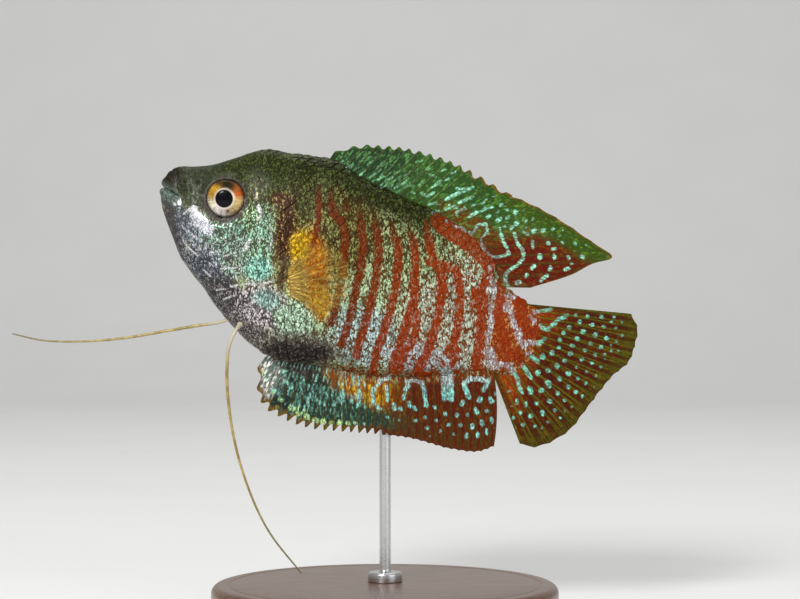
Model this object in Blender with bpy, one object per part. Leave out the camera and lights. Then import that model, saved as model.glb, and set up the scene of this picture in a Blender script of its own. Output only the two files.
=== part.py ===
"""Dwarf gourami, a still, life-size model on a plain display stand.

The fish is drawn in its own axes, in millimetres: s runs back from the snout along the body,
y runs to its right side and t runs up. An empty then places these axes over the stand with the
nose raised. The origin is the centre of the underside of the stand's base, and the left flank
faces -Y.
"""

import math
import random

import bmesh
import bpy
from mathutils import Matrix, Vector
from mathutils.bvhtree import BVHTree

MM = 0.001
GAP = 0.3
OUTSIDE = 30.0  # a distance that is clear of the body on every side
OFF_CENTRE = 0.0005  # keeps a line of sight off the seam in the body's middle plane

# Colour, roughness and metallic value of each material
FINISHES = {
    "skin": ((0.34, 0.21, 0.13), 0.38, 0.0),
    "fin": ((0.30, 0.16, 0.07), 0.35, 0.0),
    "eye": ((0.55, 0.33, 0.10), 0.08, 0.0),
    "stand_wood": ((0.16, 0.09, 0.05), 0.45, 0.0),
    "stand_steel": ((0.62, 0.62, 0.62), 0.3, 1.0),
}

# Place of the snout over the stand, and how far the nose is raised
SNOUT_X = -33.6
SNOUT_Z = 64.05
NOSE_UP_DEGREES = 22.0

# Body sections: side point (s, t), half width, top point (s, t), bottom point (s, t)
MOUTH_SECTIONS = (
    (1.30, 0.42, 0.00, 1.30, 0.42, 1.30, 0.42),
    (2.75, 0.12, 1.50, -0.02, 0.66, 0.08, 0.30),
    (3.05, 0.08, 1.88, -0.30, 0.92, -0.12, 0.05),
    (3.30, 0.02, 2.08, -0.34, 1.45, -0.06, -0.40),
    (3.62, -0.08, 2.06, -0.10, 2.10, 0.34, -0.92),
    (4.05, -0.20, 2.22, 0.12, 3.05, 0.85, -1.95),
    (4.70, -0.50, 2.60, 1.10, 4.15, 1.90, -3.30),
)
HEAD_SECTIONS = (
    (5.90, -0.90, 3.05, 3.20, 5.05, 4.00, -5.60),
    (7.90, -1.20, 3.60, 6.30, 6.75, 6.50, -8.24),
    (10.3, -1.20, 4.15, 9.50, 9.45, 9.00, -9.90),
    (13.2, -1.10, 4.60, 12.1, 11.40, 11.3, -11.20),
    (17.0, -1.20, 5.00, 15.8, 12.35, 13.3, -12.55),
)
HEAD_END = (22.0, -2.20, 5.28, 19.2, 13.15, 15.8, -14.05)
TORSO_SECTIONS = (
    (25.0, -1.70, 5.30, 22.3, 13.85, 20.0, -16.20),
    (29.5, -1.50, 5.10, 27.5, 13.10, 25.6, -16.95),
    (34.8, -1.10, 4.65, 33.3, 12.70, 31.8, -15.65),
    (40.5, -0.70, 3.95, 39.3, 12.45, 38.6, -14.30),
    (46.0, -0.50, 3.15, 44.7, 11.55, 45.0, -12.10),
)
TORSO_END = (50.5, -0.60, 2.45, 49.1, 9.65, 50.2, -9.75)
STALK_SECTIONS = (
    (54.3, -0.85, 1.80, 52.9, 6.20, 53.8, -7.80),
    (56.6, -0.95, 1.42, 55.2, 5.45, 55.5, -7.10),
    (58.6, -1.00, 1.05, 57.4, 4.95, 57.0, -6.85),
)
SIDE_STEPS = 18
HEAD_SPLITS = 3
TORSO_SPLITS = 2

# Eyes, with a raised rim round each socket
EYE_S = 9.8
EYE_T = 2.4
EYE_RADIUS = 2.95
EYE_HALF_DEPTH = 1.75
EYE_CENTRE_Y = 3.05
EYE_SEGMENTS = 18
EYE_RINGS = 9
SOCKET_SEGMENTS = 20
SOCKET_RINGS = 10
RIM_RADIUS = 3.38
RIM_THICKNESS = 0.42
RIM_STEPS = 24
RIM_SIDES = 5

# Nostrils: s, t and radius of the front and the rear opening on each side
NOSTRILS = ((3.05, 2.45, 0.34), (4.95, 3.10, 0.42))
NOSTRIL_STRETCH = 1.2
NOSTRIL_SEGMENTS = 8
NOSTRIL_RINGS = 6

# Gill covers: egg-shaped plates that lean back at the bottom
COVER_S = 16.7
COVER_T = -2.9
COVER_HALF_LENGTH = 5.3
COVER_HALF_WIDTH = 3.3
COVER_LEAN_DEGREES = 22.0
COVER_THICKNESS = 0.6
COVER_RAISE = 0.2
COVER_POCKET_TOP = 2.0
COVER_STEPS = 24
COVER_RINGS = 2

# Fins: half thickness of the membrane and of a ray, and the width that a ray's ridge covers. A
# ridge narrows towards the tip, and takes at most a share of the space to the next ray.
MEMBRANE_HALF = 0.25
EDGE_HALF = 0.16
RAY_HALF = 0.44
RAY_TIP_HALF = 0.19
RIDGE_HALF_WIDTH = 0.3
RIDGE_TAPER = 0.25
RIDGE_SHARE = 0.36
OUTER_RIDGE_SHARE = 0.7

# Spine tips stand past the membrane, each a little differently, and soft rays hardly do
TOOTH_SHARE = 0.2
TOOTH_SPREAD = 0.5
SOFT_TOOTH = 0.12
SOFT_TOOTH_SPREAD = 0.1
TOOTH_SEED = 7

# Fin rays: s of the base, then s and t of the tip, at a few rays from front to back
DORSAL_RAYS = (
    (21.6, 22.0, 15.1),
    (23.2, 24.6, 17.1),
    (26.0, 28.2, 18.6),
    (29.5, 32.2, 19.7),
    (33.5, 37.2, 20.25),
    (37.5, 42.2, 20.05),
    (41.0, 48.0, 19.10),
    (44.5, 55.3, 18.55),
    (47.5, 62.3, 17.15),
    (49.3, 66.6, 15.95),
    (50.8, 64.2, 13.90),
    (51.8, 61.3, 10.70),
    (52.8, 56.9, 7.15),
)
DORSAL_SPINES = 16
DORSAL_SOFT = 9
DORSAL_TOOTH = 0.75
DORSAL_ROWS = 5
ANAL_RAYS = (
    (24.2, 23.4, -19.2),
    (25.2, 24.4, -22.0),
    (26.6, 26.2, -24.2),
    (28.6, 29.3, -24.9),
    (31.5, 33.4, -24.9),
    (35.5, 38.6, -23.5),
    (40.0, 43.7, -21.9),
    (45.0, 49.2, -20.5),
    (50.0, 54.8, -19.8),
    (54.0, 59.0, -18.5),
    (56.3, 60.7, -17.0),
)
ANAL_SPINES = 17
ANAL_SOFT = 15
ANAL_TOOTH = 0.9
ANAL_ROWS = 4
ANAL_REAR_BEND = 0.55
REAR_BEND_POWER = 4
CAUDAL_BASE = ((0.0, 57.75, 4.45), (0.5, 59.0, -1.0), (1.0, 57.35, -6.45))
CAUDAL_TIPS = (
    (0.00, 72.4, 9.20),
    (0.07, 73.9, 7.90),
    (0.20, 74.8, 4.90),
    (0.32, 74.8, 2.20),
    (0.45, 73.3, -0.70),
    (0.56, 72.4, -3.60),
    (0.67, 71.4, -7.10),
    (0.78, 70.3, -10.6),
    (0.88, 67.9, -13.7),
    (0.95, 65.9, -15.0),
    (1.00, 64.1, -15.1),
)
CAUDAL_COUNT = 16
CAUDAL_ROWS = 5

# Pectoral fins: middle of the root, its slope, and the fan of rays that stands off the flank
PECTORAL_S = 23.6
PECTORAL_T = -5.5
PECTORAL_ROOT = 3.8
PECTORAL_ROOT_DEGREES = 118.0
PECTORAL_FAN_DEGREES = (74.0, -16.0)
PECTORAL_LENGTHS = ((0.0, 5.6), (0.35, 9.4), (0.7, 9.0), (1.0, 5.4))
PECTORAL_FLARE_DEGREES = 27.0
PECTORAL_COUNT = 9
PECTORAL_TOOTH = 0.15
PECTORAL_ROWS = 4

# Sideways wave of each fin: shift of the margin, turns of the wave in radians, and its start
DORSAL_WAVE = (0.45, 6.0, 0.6)
ANAL_WAVE = (-0.35, 7.0, 1.0)
CAUDAL_WAVE = (0.7, 4.0, 0.3)
PECTORAL_WAVE = (-0.5, math.pi, 0.0)

# Feelers: the long pelvic rays, as points (s, y, t) from the belly to the tip
FEELER_LEFT = (
    (18.5, -3.2, -15.2),
    (18.45, -3.3, -17.6),
    (19.4, -3.2, -20.9),
    (22.4, -3.0, -27.2),
    (27.6, -2.8, -34.7),
    (34.1, -2.9, -41.0),
    (41.0, -3.2, -45.0),
)
FEELER_RIGHT = (
    (15.7, 2.7, -15.0),
    (12.5, 3.0, -16.95),
    (8.2, 3.3, -19.6),
    (3.0, 3.6, -22.8),
    (-3.2, 3.9, -25.9),
    (-8.8, 4.1, -27.95),
    (-13.2, 4.2, -28.7),
)
FEELER_ROOT_LEFT = (18.6, -14.3)
FEELER_ROOT_RIGHT = (16.9, -14.0)
FEELER_LENGTHS = 3
FEELER_STEPS = 9
FEELER_SIDES = 6
FEELER_RADIUS = 0.33
FEELER_TIP_RADIUS = 0.16

# Stand: a round base and one rod behind the anal fin
BASE_RADIUS = 26.0
BASE_HEIGHT = 5.0
BASE_EDGE = 1.2
BASE_EDGE_ROUND = 0.3
BASE_FOOT_INSET = 0.3
BASE_FOOT_HEIGHT = 0.4
BASE_SIDES = 48
ROD_X = 0.0
ROD_Y = 2.35
ROD_RADIUS = 0.85
ROD_FOOT_RADIUS = 2.6
ROD_FOOT_HEIGHT = 1.2
ROD_FOOT_SLOPE_IN = 0.5
ROD_FOOT_SLOPE_DOWN = 0.4
ROD_TOP_GAP = 1.1
ROD_SIDES = 16


def clear_scene():
    for thing in list(bpy.data.objects):
        bpy.data.objects.remove(thing)


def make_material(name):
    colour, roughness, metallic = FINISHES[name]
    material = bpy.data.materials.new(name)
    material.use_nodes = True
    shader = material.node_tree.nodes["Principled BSDF"]
    shader.inputs["Base Color"].default_value = (*colour, 1.0)
    shader.inputs["Roughness"].default_value = roughness
    shader.inputs["Metallic"].default_value = metallic
    return material


def add_object(name, points, faces, material=None, parent=None):
    """A mesh object from points in millimetres, with its faces turned outward."""
    mesh = bpy.data.meshes.new(name)
    mesh.from_pydata([Vector(p) * MM for p in points], [], faces)
    work = bmesh.new()
    work.from_mesh(mesh)
    bmesh.ops.recalc_face_normals(work, faces=work.faces)
    work.to_mesh(mesh)
    work.free()
    mesh.shade_smooth()
    thing = bpy.data.objects.new(name, mesh)
    bpy.context.scene.collection.objects.link(thing)
    if material:
        mesh.materials.append(material)
    thing.parent = parent
    return thing


def apply_boolean(thing, operation, pieces):
    """Joins or cuts the pieces, which are then removed, and keeps the largest closed surface."""
    group = bpy.data.collections.new(thing.name + "_pieces")
    bpy.context.scene.collection.children.link(group)
    for piece in pieces:
        group.objects.link(piece)
    modifier = thing.modifiers.new(operation.lower(), "BOOLEAN")
    modifier.operation = operation
    modifier.operand_type = "COLLECTION"
    modifier.collection = group
    modifier.solver = "EXACT"
    bpy.context.view_layer.update()
    seen = thing.evaluated_get(bpy.context.evaluated_depsgraph_get())
    mesh = bpy.data.meshes.new_from_object(seen)
    thing.modifiers.remove(modifier)
    thing.data = mesh
    for piece in pieces:
        bpy.data.objects.remove(piece)
    bpy.data.collections.remove(group)
    keep_largest(mesh)


def keep_largest(mesh):
    work = bmesh.new()
    work.from_mesh(mesh)
    left = set(work.verts)
    shells = []
    while left:
        shell = set()
        edge = [left.pop()]
        while edge:
            vert = edge.pop()
            shell.add(vert)
            near = [link.other_vert(vert) for link in vert.link_edges]
            edge += [other for other in near if other in left]
            left.difference_update(near)
        shells.append(shell)
    shells.sort(key=len)
    scraps = [vert for shell in shells[:-1] for vert in shell]
    bmesh.ops.delete(work, geom=scraps, context="VERTS")
    work.to_mesh(mesh)
    work.free()


def along(rows, place):
    """The later columns of the rows at a place in the first column, on smooth curves."""
    last = len(rows) - 1
    index = 0
    while index < last - 1 and place > rows[index + 1][0]:
        index += 1
    low, high = rows[index], rows[index + 1]
    step = high[0] - low[0]
    u = (place - low[0]) / step
    values = []
    for column in range(1, len(low)):
        rise = (high[column] - low[column]) / step
        slopes = []
        for here in (index, index + 1):
            if here == 0 or here == last:
                slopes.append(rise)
                continue
            before, now, after = rows[here - 1], rows[here], rows[here + 1]
            gone, left = now[0] - before[0], after[0] - now[0]
            first = (now[column] - before[column]) / gone
            second = (after[column] - now[column]) / left
            slopes.append((first * left + second * gone) / (gone + left))
        a, b = low[column], high[column]
        values.append(
            a * (1 + 2 * u) * (1 - u) ** 2
            + b * u * u * (3 - 2 * u)
            + slopes[0] * step * u * (1 - u) ** 2
            - slopes[1] * step * u * u * (1 - u)
        )
    return values


BODY_ROWS = MOUTH_SECTIONS + HEAD_SECTIONS + (HEAD_END,)
BODY_ROWS += TORSO_SECTIONS + (TORSO_END,) + STALK_SECTIONS


def body_section(place, shift=0.0):
    """Ring of points round the body, starting at the top and going down its right side."""
    side_t, width, top_s, top_t, bottom_s, bottom_t = along(BODY_ROWS, place)
    ring = []
    for step in range(2 * SIDE_STEPS):
        angle = math.pi * step / SIDE_STEPS
        level = math.cos(angle)
        end_s, end_t = (top_s, top_t) if level >= 0 else (bottom_s, bottom_t)
        s = place + (end_s - place) * level**2 + shift
        t = side_t + (end_t - side_t) * abs(level)
        ring.append((s, width * math.sin(angle), t))
    return ring


def places_between(rows, splits):
    places = []
    for row, following in zip(rows, rows[1:]):
        for step in range(splits):
            places.append(row[0] + (following[0] - row[0]) * step / splits)
    return places


def add_loft(name, rings, tip=None, material=None, parent=None):
    """Closed body through the rings, ending in a point at the front where a tip is given."""
    count = 2 * SIDE_STEPS
    points = [p for ring in rings for p in ring]
    faces = []
    for r in range(len(rings) - 1):
        for k in range(count):
            near, following = r * count + k, r * count + (k + 1) % count
            faces.append((near, following, following + count, near + count))
    ends = [(len(rings) - 1) * count]
    if tip:
        points.append(tip)
        faces += [(len(points) - 1, (k + 1) % count, k) for k in range(count)]
    else:
        ends.append(0)
    for start in ends:
        faces.append((start, start + 1, start + count - 1))
        faces.append((start + SIDE_STEPS - 1, start + SIDE_STEPS, start + SIDE_STEPS + 1))
        for k in range(1, SIDE_STEPS - 1):
            faces.append((start + k, start + k + 1, start + count - k - 1, start + count - k))
    return add_object(name, points, faces, material, parent)


def body_rings():
    """Rings of the head, the torso and the tail stalk, with a gap at each parting."""
    half = GAP / 2
    mouth = [body_section(row[0]) for row in MOUTH_SECTIONS[1:-1]]
    head_rows = MOUTH_SECTIONS[-1:] + HEAD_SECTIONS + (HEAD_END,)
    head = mouth + [body_section(place) for place in places_between(head_rows, HEAD_SPLITS)]
    head.append(body_section(HEAD_END[0], -half))
    torso_rows = (HEAD_END,) + TORSO_SECTIONS + (TORSO_END,)
    torso_places = places_between(torso_rows, TORSO_SPLITS)
    torso = [body_section(torso_places[0], half)]
    torso += [body_section(place) for place in torso_places[1:]]
    torso.append(body_section(TORSO_END[0], -half))
    stalk_places = places_between((TORSO_END,) + STALK_SECTIONS, TORSO_SPLITS)
    stalk = [body_section(stalk_places[0], half)]
    stalk += [body_section(place) for place in stalk_places[1:]]
    stalk.append(body_section(STALK_SECTIONS[-1][0]))
    return head, torso, stalk


def body_surface(head, torso, stalk):
    """Search tree over the whole body's skin, with no partings."""
    count = 2 * SIDE_STEPS
    rings = head[:-1] + [body_section(HEAD_END[0])]
    rings += torso[1:-1] + [body_section(TORSO_END[0])] + stalk[1:]
    points = [p for ring in rings for p in ring]
    faces = []
    for r in range(len(rings) - 1):
        for k in range(count):
            near, following = r * count + k, r * count + (k + 1) % count
            faces.append((near, following, following + count, near + count))
    return BVHTree.FromPolygons(points, faces)


def flank(surface, s, t, side):
    """Point on the flank at (s, t), and the outward normal there."""
    start = Vector((s, side * OUTSIDE, t))
    hit, normal, _, _ = surface.ray_cast(start, Vector((0.0, -side, 0.0)))
    if normal.y * side < 0:
        normal = -normal
    return hit, normal


def ridge_line(surface, s, upper):
    """Height of the body's top or bottom line at s."""
    sign = 1.0 if upper else -1.0
    start = Vector((s, OFF_CENTRE, sign * OUTSIDE))
    hit, _, _, _ = surface.ray_cast(start, Vector((0.0, 0.0, -sign)))
    return hit.z


def ellipsoid(centre, radii, segments, rings):
    """Points and faces of a rounded body with its own radius along each axis."""
    points = [(centre[0], centre[1], centre[2] + radii[2])]
    faces = []
    for r in range(1, rings):
        polar = math.pi * r / rings
        for k in range(segments):
            turn = 2 * math.pi * k / segments
            points.append(
                (
                    centre[0] + radii[0] * math.sin(polar) * math.cos(turn),
                    centre[1] + radii[1] * math.sin(polar) * math.sin(turn),
                    centre[2] + radii[2] * math.cos(polar),
                )
            )
    points.append((centre[0], centre[1], centre[2] - radii[2]))
    for k in range(segments):
        after = (k + 1) % segments
        faces.append((0, 1 + k, 1 + after))
        for r in range(rings - 2):
            near = 1 + r * segments
            faces.append((near + k, near + segments + k, near + segments + after, near + after))
        bottom = 1 + (rings - 2) * segments
        faces.append((bottom + k, len(points) - 1, bottom + after))
    return points, faces


def tube(path, radii, sides, closed=False):
    """Points and faces of a round tube along the path, as a ring or with flat ends."""
    count = len(path)
    points, faces = [], []
    for i, (centre, radius) in enumerate(zip(path, radii)):
        before = path[(i - 1) % count] if closed or i else path[0]
        after = path[(i + 1) % count] if closed or i < count - 1 else path[-1]
        forward = (after - before).normalized()
        across = forward.cross(Vector((0.0, 1.0, 0.0))).normalized()
        up = across.cross(forward)
        for k in range(sides):
            turn = 2 * math.pi * k / sides
            points.append(centre + (across * math.cos(turn) + up * math.sin(turn)) * radius)
    for i in range(count if closed else count - 1):
        here, following = i * sides, (i + 1) % count * sides
        for k in range(sides):
            after = (k + 1) % sides
            faces.append((here + k, here + after, following + after, following + k))
    if not closed:
        faces.append(tuple(range(sides)))
        faces.append(tuple(range((count - 1) * sides, count * sides)))
    return points, faces


def eye_rim(surface, side):
    """Ring that follows the skin round the socket."""
    path = []
    for k in range(RIM_STEPS):
        turn = 2 * math.pi * k / RIM_STEPS
        s = EYE_S + RIM_RADIUS * math.cos(turn)
        t = EYE_T + RIM_RADIUS * math.sin(turn)
        path.append(flank(surface, s, t, side)[0])
    return add_object("rim", *tube(path, [RIM_THICKNESS] * RIM_STEPS, RIM_SIDES, closed=True))


def cover_plate(surface, side, grow, raise_out, depth):
    """Plate on the flank: its outer face stands off the skin, its inner face is under it."""
    lean = math.radians(COVER_LEAN_DEGREES)
    outer, inner = [], []
    for ring in range(COVER_RINGS + 1):
        part = ring / COVER_RINGS
        for k in range(COVER_STEPS if ring else 1):
            turn = 2 * math.pi * k / COVER_STEPS
            long = (COVER_HALF_LENGTH + grow) * part * math.cos(turn)
            wide = (COVER_HALF_WIDTH + grow) * part * math.sin(turn)
            s = COVER_S - long * math.sin(lean) + wide * math.cos(lean)
            t = COVER_T + long * math.cos(lean) + wide * math.sin(lean)
            skin = flank(surface, s, t, side)[0]
            outer.append((s, skin.y + side * raise_out, t))
            inner.append((s, skin.y + side * (raise_out - depth), t))
    points = outer + inner
    shift = len(outer)
    faces = []
    for k in range(COVER_STEPS):
        after = (k + 1) % COVER_STEPS
        wedges = [(0, 1 + k, 1 + after)]
        for ring in range(COVER_RINGS - 1):
            near = 1 + ring * COVER_STEPS
            far = near + COVER_STEPS
            wedges.append((near + k, far + k, far + after))
            wedges.append((near + k, far + after, near + after))
        faces += wedges
        faces += [(a + shift, c + shift, b + shift) for a, b, c in wedges]
        edge = 1 + (COVER_RINGS - 1) * COVER_STEPS
        faces.append((edge + k, edge + k + shift, edge + after + shift, edge + after))
    return points, faces


def make_head(rings, surface, material, fish):
    tip_row = MOUTH_SECTIONS[0]
    head = add_loft("head", rings, (tip_row[0], 0.0, tip_row[1]), material, fish)
    rims, cutters = [], []
    pocket_depth = COVER_POCKET_TOP - COVER_RAISE + COVER_THICKNESS + GAP
    for side in (-1, 1):
        rims.append(eye_rim(surface, side))
        centre = (EYE_S, side * EYE_CENTRE_Y, EYE_T)
        radii = (EYE_RADIUS + GAP, EYE_HALF_DEPTH + GAP, EYE_RADIUS + GAP)
        socket = ellipsoid(centre, radii, SOCKET_SEGMENTS, SOCKET_RINGS)
        cutters.append(add_object("socket", *socket))
        plate = cover_plate(surface, side, GAP, COVER_POCKET_TOP, pocket_depth)
        cutters.append(add_object("cover_pocket", *plate))
        for s, t, radius in NOSTRILS:
            middle = flank(surface, s, t, side)[0]
            radii = (radius * NOSTRIL_STRETCH, radius, radius)
            nostril = ellipsoid(middle, radii, NOSTRIL_SEGMENTS, NOSTRIL_RINGS)
            cutters.append(add_object("nostril", *nostril))
    for piece in rims + cutters:
        piece.parent = fish
    apply_boolean(head, "UNION", rims)
    apply_boolean(head, "DIFFERENCE", cutters)
    return head


def make_eyes(material, fish):
    for name, side in (("eye_left", -1), ("eye_right", 1)):
        centre = (EYE_S, side * EYE_CENTRE_Y, EYE_T)
        radii = (EYE_RADIUS, EYE_HALF_DEPTH, EYE_RADIUS)
        add_object(name, *ellipsoid(centre, radii, EYE_SEGMENTS, EYE_RINGS), material, fish)


def make_gill_covers(surface, material, fish):
    for name, side in (("gill_cover_left", -1), ("gill_cover_right", 1)):
        plate = cover_plate(surface, side, 0.0, COVER_RAISE, COVER_THICKNESS)
        add_object(name, *plate, material, fish)


def add_fin(name, rays, teeth, rows, wave, thickness_axis, material, fish):
    """Fin whose rays are ridges raised in both faces of its membrane.

    Each ray is a base, a tip and the bend of its middle. Each tooth is how far the ray's tip
    stands past the membrane. The wave shifts the fin sideways, more towards its margin.
    """
    amount, turns, start = wave

    def on_ray(ray, v):
        base, tip, bend = ray
        return base.lerp(tip, v) + bend * (4 * v * (1 - v))

    columns = []
    last = len(rays) - 1
    for i, ray in enumerate(rays):
        length = (ray[1] - ray[0]).length
        tooth = min(teeth[i], TOOTH_SHARE * length)
        for foot in (-1, 0, 1):
            other = rays[min(max(i + (foot or 1), 0), last)]
            mirrored = not 0 <= i + foot <= last
            column = []
            for row in range(rows + 1):
                v = row / rows
                reach = v * (1 - tooth / length) if foot else v
                here = on_ray(ray, reach)
                half = RAY_HALF + (RAY_TIP_HALF - RAY_HALF) * v
                if foot:
                    step = on_ray(other, reach) - here
                    ridge = RIDGE_HALF_WIDTH * (1 - RIDGE_TAPER * v)
                    width = min(ridge, RIDGE_SHARE * step.length)
                    if mirrored:
                        step = here - on_ray(rays[i - foot], reach)
                        width = min(RIDGE_HALF_WIDTH, RIDGE_SHARE * step.length) * OUTER_RIDGE_SHARE
                    here = here + step.normalized() * width
                    half = EDGE_HALF if row == rows or mirrored else MEMBRANE_HALF
                here = here + thickness_axis * (amount * v * v * math.sin(turns * i / last + start))
                column.append((here, half))
            columns.append(column)
    near, far = [], []
    for column in columns:
        near += [p - thickness_axis * half for p, half in column]
        far += [p + thickness_axis * half for p, half in column]
    points = near + far
    shift = len(near)
    height = rows + 1
    faces = []
    for c in range(len(columns) - 1):
        for row in range(rows):
            a, b = c * height + row, (c + 1) * height + row
            for corner in ((a, b, b + 1), (a, b + 1, a + 1)):
                faces.append(corner)
                faces.append(tuple(k + shift for k in reversed(corner)))
        foot, head = c * height, c * height + rows
        faces.append((foot, foot + height, foot + height + shift, foot + shift))
        faces.append((head, head + height, head + height + shift, head + shift))
    for c in (0, len(columns) - 1):
        for row in range(rows):
            a = c * height + row
            faces.append((a, a + 1, a + 1 + shift, a + shift))
    return add_object(name, points, faces, material, fish)


def median_rays(surface, keys, count, upper, rear_bend):
    """Rays from the body's top or bottom line to the fin's margin, the last ones bent back."""
    sign = 1.0 if upper else -1.0
    first, last = keys[0][0], keys[-1][0]
    rays = []
    for i in range(count):
        s = first + (last - first) * i / (count - 1)
        tip_s, tip_t = along(keys, s)
        lift = GAP + (RIDGE_HALF_WIDTH if i == count - 1 else 0.0)
        base_t = ridge_line(surface, s, upper) + sign * lift
        bend = Vector((rear_bend * (i / (count - 1)) ** REAR_BEND_POWER, 0.0, 0.0))
        rays.append((Vector((s, 0.0, base_t)), Vector((tip_s, 0.0, tip_t)), bend))
    return rays


def spine_teeth(spines, soft, depth, rng):
    """How far each spine stands past the membrane; soft rays end level with it."""
    teeth = [depth * (1 + TOOTH_SPREAD * (rng.random() - 0.5)) for _ in range(spines)]
    return teeth + [SOFT_TOOTH + SOFT_TOOTH_SPREAD * rng.random() for _ in range(soft)]


def make_median_fins(surface, material, fish):
    rng = random.Random(TOOTH_SEED)
    side_axis = Vector((0.0, 1.0, 0.0))
    dorsal = median_rays(surface, DORSAL_RAYS, DORSAL_SPINES + DORSAL_SOFT, True, 0.0)
    teeth = spine_teeth(DORSAL_SPINES, DORSAL_SOFT, DORSAL_TOOTH, rng)
    add_fin("dorsal_fin", dorsal, teeth, DORSAL_ROWS, DORSAL_WAVE, side_axis, material, fish)
    anal = median_rays(surface, ANAL_RAYS, ANAL_SPINES + ANAL_SOFT, False, ANAL_REAR_BEND)
    teeth = spine_teeth(ANAL_SPINES, ANAL_SOFT, ANAL_TOOTH, rng)
    add_fin("anal_fin", anal, teeth, ANAL_ROWS, ANAL_WAVE, side_axis, material, fish)
    rays = []
    for i in range(CAUDAL_COUNT):
        u = i / (CAUDAL_COUNT - 1)
        base_s, base_t = along(CAUDAL_BASE, u)
        tip_s, tip_t = along(CAUDAL_TIPS, u)
        rays.append((Vector((base_s, 0.0, base_t)), Vector((tip_s, 0.0, tip_t)), Vector()))
    teeth = spine_teeth(0, CAUDAL_COUNT, 0.0, rng)
    add_fin("caudal_fin", rays, teeth, CAUDAL_ROWS, CAUDAL_WAVE, side_axis, material, fish)


def make_pectoral_fins(surface, material, fish):
    slope = math.radians(PECTORAL_ROOT_DEGREES)
    flare = math.radians(PECTORAL_FLARE_DEGREES)
    first, last = (math.radians(angle) for angle in PECTORAL_FAN_DEGREES)
    for name, side in (("pectoral_fin_left", -1), ("pectoral_fin_right", 1)):
        middle, normal = flank(surface, PECTORAL_S, PECTORAL_T, side)
        rays = []
        for i in range(PECTORAL_COUNT):
            u = i / (PECTORAL_COUNT - 1)
            offset = PECTORAL_ROOT * (0.5 - u)
            s = PECTORAL_S + offset * math.cos(slope)
            t = PECTORAL_T + offset * math.sin(slope)
            skin = flank(surface, s, t, side)[0]
            base = Vector((s, skin.y + side * (GAP + MEMBRANE_HALF), t))
            angle = first + (last - first) * u
            length = along(PECTORAL_LENGTHS, u)[0]
            run = math.cos(flare) * length
            rise = math.sin(flare) * length
            tip = base + Vector((run * math.cos(angle), side * rise, run * math.sin(angle)))
            rays.append((base, tip, Vector()))
        axis = (rays[-1][1] - rays[-1][0]).cross(rays[0][1] - rays[0][0]).normalized()
        if axis.y * normal.y < 0:
            axis = -axis
        teeth = [PECTORAL_TOOTH] * PECTORAL_COUNT
        add_fin(name, rays, teeth, PECTORAL_ROWS, PECTORAL_WAVE, axis, material, fish)


def smooth_path(points, count):
    """Evenly numbered points on a smooth curve through the given ones."""
    rows = []
    gone = 0.0
    for i, point in enumerate(points):
        if i:
            gone += (Vector(point) - Vector(points[i - 1])).length
        rows.append((gone, *point))
    return [Vector(along(rows, gone * i / (count - 1))) for i in range(count)]


def make_feelers(surface, material, fish):
    """Long pelvic rays, each in a few lengths, from the belly to a thin tip."""
    kinds = (
        ("feeler_left", FEELER_LEFT, FEELER_ROOT_LEFT, -1),
        ("feeler_right", FEELER_RIGHT, FEELER_ROOT_RIGHT, 1),
    )
    for name, points, root, side in kinds:
        skin, normal = flank(surface, root[0], root[1], side)
        start = skin + normal * GAP
        path = smooth_path([tuple(start), *points], FEELER_LENGTHS * FEELER_STEPS + 1)
        for part in range(FEELER_LENGTHS):
            first = part * FEELER_STEPS
            run = path[first : first + FEELER_STEPS + 1]
            if part:
                run[0] = run[0] + (run[1] - run[0]).normalized() * GAP
            radii = []
            for i in range(len(run)):
                share = (first + i) / (len(path) - 1)
                radii.append(FEELER_RADIUS + (FEELER_TIP_RADIUS - FEELER_RADIUS) * share)
            shape = tube(run, radii, FEELER_SIDES)
            add_object(f"{name}_{part + 1}", *shape, material, fish)


def turned(profile, sides, centre=(0.0, 0.0)):
    """Points and faces of a turned shape: the profile holds (radius, height) from axis to axis."""
    x, y = centre
    points = [(x, y, profile[0][1])]
    for radius, height in profile[1:-1]:
        for k in range(sides):
            turn = 2 * math.pi * k / sides
            points.append((x + radius * math.cos(turn), y + radius * math.sin(turn), height))
    points.append((x, y, profile[-1][1]))
    faces = []
    rings = len(profile) - 2
    for k in range(sides):
        after = (k + 1) % sides
        faces.append((0, 1 + after, 1 + k))
        for r in range(rings - 1):
            near, far = 1 + r * sides, 1 + (r + 1) * sides
            faces.append((near + k, near + after, far + after, far + k))
        top = 1 + (rings - 1) * sides
        faces.append((top + k, top + after, len(points) - 1))
    return points, faces


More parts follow.
